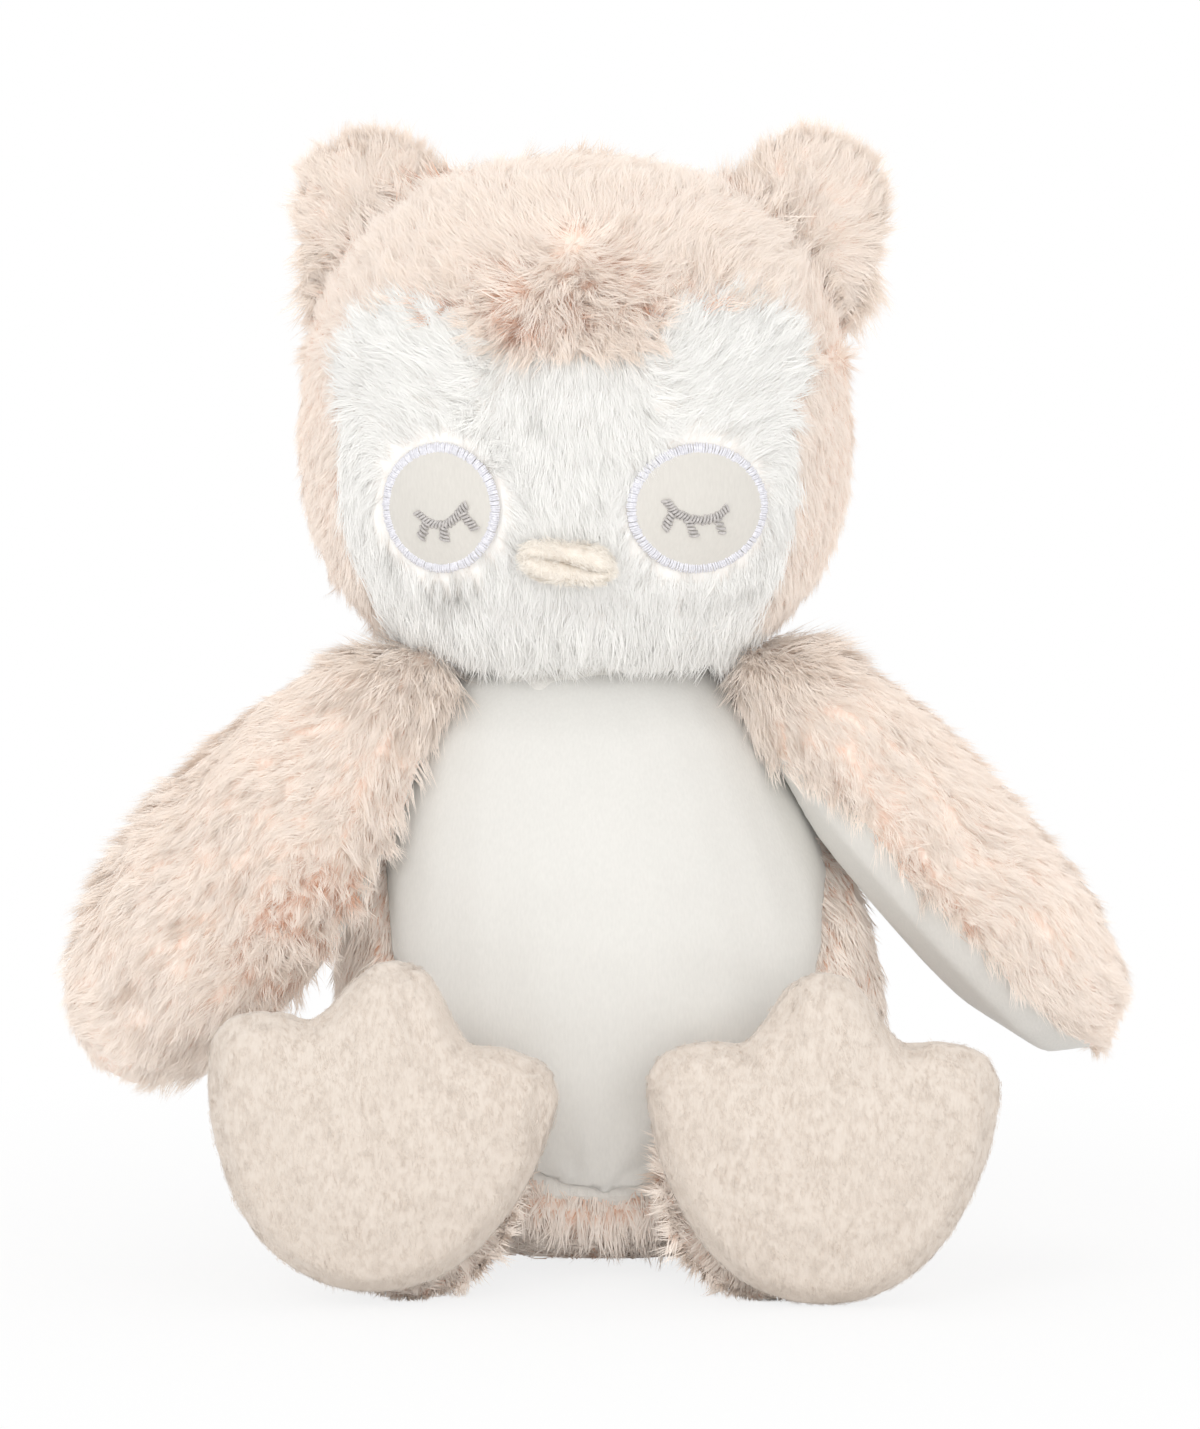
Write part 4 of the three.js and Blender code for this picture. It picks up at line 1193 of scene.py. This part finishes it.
# Wings.


# Each shoulder in millimetres, and each wing's angle from straight down in degrees.
SHOULDERS = {"left": (-42, -20, 146), "right": (38, -13, 146)}
SPREADS = {"left": 38, "right": -41.5}
# The pink pile's lower edge on the right wing: distance from the shoulder, and height over the wing's axis.
WING_EDGE = ((0, 12, 21, 39, 79, 113, 130), (-30, -19, -13, -8, -6.6, -4.7, -2))


class OwlWings(Operator):
    """Makes the two wings, pink pile outside and smooth cloth inside."""

    bl_idname = "owl.wings"
    bl_label = "Wings"

    def execute(self, context):
        sizes = context.scene.owl_sizes
        pile = context.scene.owl_pile
        for side, sign in SIDES.items():
            nodes = [f"wing_outer_{side}", f"wing_lining_{side}"]
            skin = soft_skin(f"wing_backing_{side}", nodes + [f"wing_stuffing_{side}"], 1.5 * MM,
                             sizes.wing_depth / 2, 10)
            spread = math.radians(SPREADS[side])
            corners = vectors_of(skin.data, "co") / MM - np.array(SHOULDERS[side])
            near = 1 - smoothstep(np.linalg.norm(corners, axis=1), 6, 26)
            move_corners(skin.data, near[:, None] * np.array((-4.5 * sign, 0, 1.5)) * MM)
            tip = np.array((-math.sin(spread), 0, -math.cos(spread)))
            over = np.array((sign * math.cos(spread), 0, -sign * math.sin(spread)))
            centres = face_centres(skin.data) / MM - np.array(SHOULDERS[side])
            outside = nearest_node(skin.data, nodes) == 0
            if side == "right":
                outside |= centres @ over > np.interp(centres @ tip, *WING_EDGE)
            outside |= centres @ tip < 16
            give_materials(skin.data, ["pink_backing", "smooth_cloth"], ~outside)
            ride_as(skin, f"wing_{side}", "pink_pile")
            self.grow_wing(sizes, pile, side, skin, outside, tip, over, nodes[0])
            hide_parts(nodes[1])
        return {"FINISHED"}

    def grow_wing(self, sizes, pile, side, skin, outside, tip, over, node):
        points = vectors_of(skin.data, "co")
        placed = points / MM - np.array(SHOULDERS[side])
        along = placed @ tip
        across = placed @ over
        away = placed - np.outer(along, tip)
        shoulder = 1 - smoothstep(along, 2, 22)
        comb = tip + 0.35 * unit(away) + 0.35 * wander(points, 8 * MM, 15)
        comb = blended(comb, unit(away) + 0.4 * tip + 0.3 * FORWARD, 0.4 * shoulder)
        # The edge beside the body is the most tangled, and its tufts stand over the belly.
        inner = 1 - smoothstep(across, -22, -2)
        middle = np.exp(-((along - 62) / 34) ** 2)
        patches = 0.5 + 0.5 * np.clip(wander(points, 4 * MM, 30)[:, 1], -1, 1)
        if side == "right":
            # Here the edge is where the pile meets the lining.
            from_edge = across - np.interp(along, *WING_EDGE)
            inner = 1 - smoothstep(from_edge, 1, 8)
        # On the left wing a second tangled band lies within that edge.
        band = np.exp(-((across + 9) / 7) ** 2) * (side == "left")
        tangle = np.clip((0.75 * inner + 0.45 * band + 0.35 * patches) * middle, 0, 0.85)
        clumps = 0.3 * wander(points, 3 * MM, 32)[:, 0]
        rim = smoothstep(across, 18, 28)
        comb = blended(comb, tip - over + 0.6 * FORWARD, 0.6 * inner * (side == "left"))
        cap = shoulder * smoothstep(vectors_of(skin.data, "normal")[:, 2], -0.1, 0.5)
        length = sizes.wing_pile * (1 + 0.35 * shoulder + 0.5 * cap + 0.25 * inner + 0.2 * rim
                                    - 0.5 * smoothstep(along, 112, 124))
        fur = grow_pile(f"wing_pile_{side}", skin, outside, "long", pile.wing_strands, "pink_strands", comb,
                        length, shade=0.9 - (0.42 + clumps) * tangle, tangle=tangle, scatter=0.3, sway=0.26,
                        lock_size=5 * MM, softness=1.0, upright=0.14 + 0.1 * cap + 0.3 * rim)
        ride_as(fur, f"wing_{side}", "pink_pile", node)


# Legs and feet.


class OwlLegs(Operator):
    """Makes the two short legs of pink pile."""

    bl_idname = "owl.legs"
    bl_label = "Legs"

    def execute(self, context):
        sizes = context.scene.owl_sizes
        pile = context.scene.owl_pile
        for side in SIDES:
            node = f"leg_cover_{side}"
            skin = soft_skin(f"leg_backing_{side}", [node, f"leg_stuffing_{side}"], 1.6 * MM,
                             sizes.backing_depth, 5)
            give_materials(skin.data, ["pink_backing"])
            ride_as(skin, f"leg_{side}", "pink_pile")
            points = vectors_of(skin.data, "co")
            low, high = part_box(node)
            middle = np.array((low + high) / 2)
            away = points - middle
            away[:, 1] = 0
            comb = np.array((0, -1.0, 0)) + 0.4 * unit(away)
            chosen = distances_to(face_centres(skin.data), TORSO_NODES).min(axis=0) > 2 * MM
            fur = grow_pile(f"leg_pile_{side}", skin, chosen, "plain", pile.back_strands, "pink_strands",
                            comb, sizes.long_pile, shade=0.6, scatter=0.25, sway=0.14, softness=0.95)
            ride_as(fur, f"leg_{side}", "pink_pile", node)
        return {"FINISHED"}


# Where the seam turns in between the toes, across and up in millimetres.
TOE_VALLEYS = {"left": ((-72, 70), (-44, 78), (-14, 55)), "right": ((10, 50), (44, 76), (74, 68))}
# How far forward the feet's seam lies.
FOOT_SEAM = 75


class OwlFeet(Operator):
    """Makes the two feet of short greige pile."""

    bl_idname = "owl.feet"
    bl_label = "Feet"

    def execute(self, context):
        sizes = context.scene.owl_sizes
        pile = context.scene.owl_pile
        for side in SIDES:
            nodes = [f"foot_sole_{side}", f"foot_top_{side}"]
            skin = soft_skin(f"foot_cloth_{side}", nodes + [f"foot_stuffing_{side}"], 1.2 * MM, -0.2 * MM, 14)
            give_materials(skin.data, ["greige_cloth"])
            ride_as(skin, f"leg_{side}", "greige_pile", *nodes)
            sew_foot(skin.data, side)
            points = vectors_of(skin.data, "co")
            comb = np.tile(DOWN, (len(points), 1))
            centres = face_centres(skin.data)
            front = centres[:, 1] < -FOOT_SEAM * MM
            for face, chosen, strands in (("front", front, pile.nap_strands),
                                          ("back", ~front, pile.nap_strands / 2)):
                fuzz = grow_pile(f"foot_fibres_{side}_{face}", skin, chosen, "short", strands,
                                 "greige_strands", comb, sizes.nap, shade=0.8, scatter=0.35, sway=0.08,
                                 lock_size=4 * MM, softness=1.0)
                ride_as(fuzz, f"leg_{side}", "greige_pile")
        return {"FINISHED"}


def sew_foot(mesh, side):
    """Draws the seam in round the foot and puckers it between the toes."""
    points = vectors_of(mesh, "co")
    normals = vectors_of(mesh, "normal")
    depth = points[:, 1] / MM + FOOT_SEAM
    sunk = 0.55 * np.exp(-(depth / 0.9) ** 2) - 0.25 * np.exp(-((np.abs(depth) - 2.2) / 1.2) ** 2)
    for valley in TOE_VALLEYS[side]:
        away = points[:, (0, 2)] / MM - np.array(valley)
        angle = np.arctan2(away[:, 1], away[:, 0])
        sunk += 0.5 * np.exp(-np.linalg.norm(away, axis=1) / 5) * np.cos(8 * angle)
        sunk += 1.3 * crease(points, valley, (0.9 * valley[0], valley[1] - 22), 3.0) * (depth < 0)
    move_corners(mesh, -normals * (sunk * MM)[:, None])


class OwlFilling(Operator):
    """Gives the fill and the pellet bag, which stay hidden inside, their materials."""

    bl_idname = "owl.filling"
    bl_label = "Filling"

    def execute(self, context):
        for name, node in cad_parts.items():
            if "stuffing" in name or name == "pellet_bag":
                for slot in node.material_slots:
                    slot.material = finishes["cotton" if name == "pellet_bag" else "fibre"]
        return {"FINISHED"}


# Each light's place and width in metres.
LIGHTS = {"key": ((-0.75, -1.5, 1.15), 1.0), "fill": ((0.3, -1.7, 0.25), 1.0), "top": ((0.0, 0.3, 1.6), 1.2)}


class OwlStageMaker(Operator):
    """Makes the floor, the lights, the background and the camera."""

    bl_idname = "owl.stage"
    bl_label = "Stage"

    def execute(self, context):
        stage = context.scene.owl_stage
        self.make_floor(context)
        self.make_world(context, stage)
        for name, (place, width) in LIGHTS.items():
            lamp = bpy.data.lights.new(name, "AREA")
            lamp.shape = "DISK"
            lamp.size = width
            lamp.energy = getattr(stage, name)
            light = bpy.data.objects.new(name, lamp)
            light.location = place
            aim = Vector((0, 0, 0.13)) - Vector(place)
            light.rotation_euler = aim.to_track_quat("-Z", "Y").to_euler()
            context.scene.collection.objects.link(light)
        camera = bpy.data.objects.new("camera", bpy.data.cameras.new("camera"))
        camera.data.lens = stage.lens
        camera.data.sensor_width = 36
        back = stage.distance * np.array((0, -math.cos(stage.elevation), math.sin(stage.elevation)))
        camera.location = back + np.array((0, 0, stage.aim_height))
        camera.rotation_euler = (math.pi / 2 - stage.elevation, 0, 0)
        context.scene.collection.objects.link(camera)
        context.scene.camera = camera
        context.scene.view_settings.view_transform = "Standard"
        return {"FINISHED"}

    def make_floor(self, context):
        corners = [(-6, -6, 0), (6, -6, 0), (6, 6, 0), (-6, 6, 0)]
        floor = put_in_scene(mesh_from("floor", corners, [(0, 1, 2, 3)]), "floor")
        material, tree = new_material("Pale studio floor")
        shader = add_node(tree, "ShaderNodeBsdfPrincipled", {
            "Base Color": tuple(context.scene.owl_colours.floor),
            "Roughness": 0.9, "Specular IOR Level": 0.1})
        glow = add_node(tree, "ShaderNodeEmission", {"Strength": 1.0})
        # The floor fades into the white background away from the owl.
        place = add_node(tree, "ShaderNodeTexCoord").outputs["Object"]
        away = add_node(tree, "ShaderNodeVectorMath", {0: place}, operation="LENGTH").outputs["Value"]
        fade = add_node(tree, "ShaderNodeMapRange", {
            "Value": away, "From Min": 0.1, "From Max": 0.32, "To Min": 0.82, "To Max": 1.0},
            interpolation_type="SMOOTHSTEP")
        share = add_node(tree, "ShaderNodeMath", {0: seen_directly(tree), 1: fade}, operation="MULTIPLY")
        both = add_node(tree, "ShaderNodeMixShader", {0: share, 1: shader, 2: glow})
        add_node(tree, "ShaderNodeOutputMaterial", {"Surface": both})
        floor.data.materials.append(material)

    def make_world(self, context, stage):
        world = bpy.data.worlds.new("studio")
        context.scene.world = world
        world.use_nodes = True
        tree = world.node_tree
        tree.nodes.clear()
        strength = add_node(tree, "ShaderNodeMapRange", {
            "Value": seen_directly(tree), "To Min": stage.ambient, "To Max": 1.0})
        glow = add_node(tree, "ShaderNodeBackground", {"Color": (1, 1, 1, 1), "Strength": strength})
        add_node(tree, "ShaderNodeOutputWorld", {"Surface": glow})


def seen_directly(tree):
    """One where the camera sees the background, also by reflection or through something, else zero."""
    path = add_node(tree, "ShaderNodeLightPath").outputs
    seen = path["Is Camera Ray"]
    for other in ("Is Glossy Ray", "Is Transmission Ray"):
        seen = add_node(tree, "ShaderNodeMath", {0: seen, 1: path[other]}, operation="MAXIMUM")
    return seen


class OwlPanel(Panel):
    """Lists the owl's pieces."""

    bl_idname = "OWL_PT_pieces"
    bl_label = "Plush owl"
    bl_space_type = "VIEW_3D"
    bl_region_type = "UI"
    bl_category = "Plush owl"

    def draw(self, context):
        for maker in makers:
            self.layout.operator(maker.bl_idname)


settings = {"owl_sizes": OwlSizes, "owl_pile": OwlPile, "owl_colours": OwlColours, "owl_stage": OwlStage}
makers = (OwlHead, OwlEars, OwlEyes, OwlBeak, OwlBody, OwlBelly, OwlWings, OwlLegs, OwlFeet, OwlFilling,
          OwlStageMaker)


def register():
    for kind in (*settings.values(), *makers, OwlPanel):
        bpy.utils.register_class(kind)
    for name, kind in settings.items():
        setattr(bpy.types.Scene, name, PointerProperty(type=kind))


def unregister():
    for name in settings:
        delattr(bpy.types.Scene, name)
    for kind in (OwlPanel, *reversed(makers), *reversed(settings.values())):
        bpy.utils.unregister_class(kind)


def main():
    register()
    make_finishes()
    make_tufts()
    trees["pile"] = make_pile_tree()
    trees["stitches"] = make_stitch_tree()
    tufts["thread"] = [make_thread()]
    for maker in makers:
        group, action = maker.bl_idname.split(".")
        getattr(getattr(bpy.ops, group), action)()
    for kind in tufts.values():
        for tuft in kind:
            remove_piece(tuft)


if __name__ == "__main__":
    main()
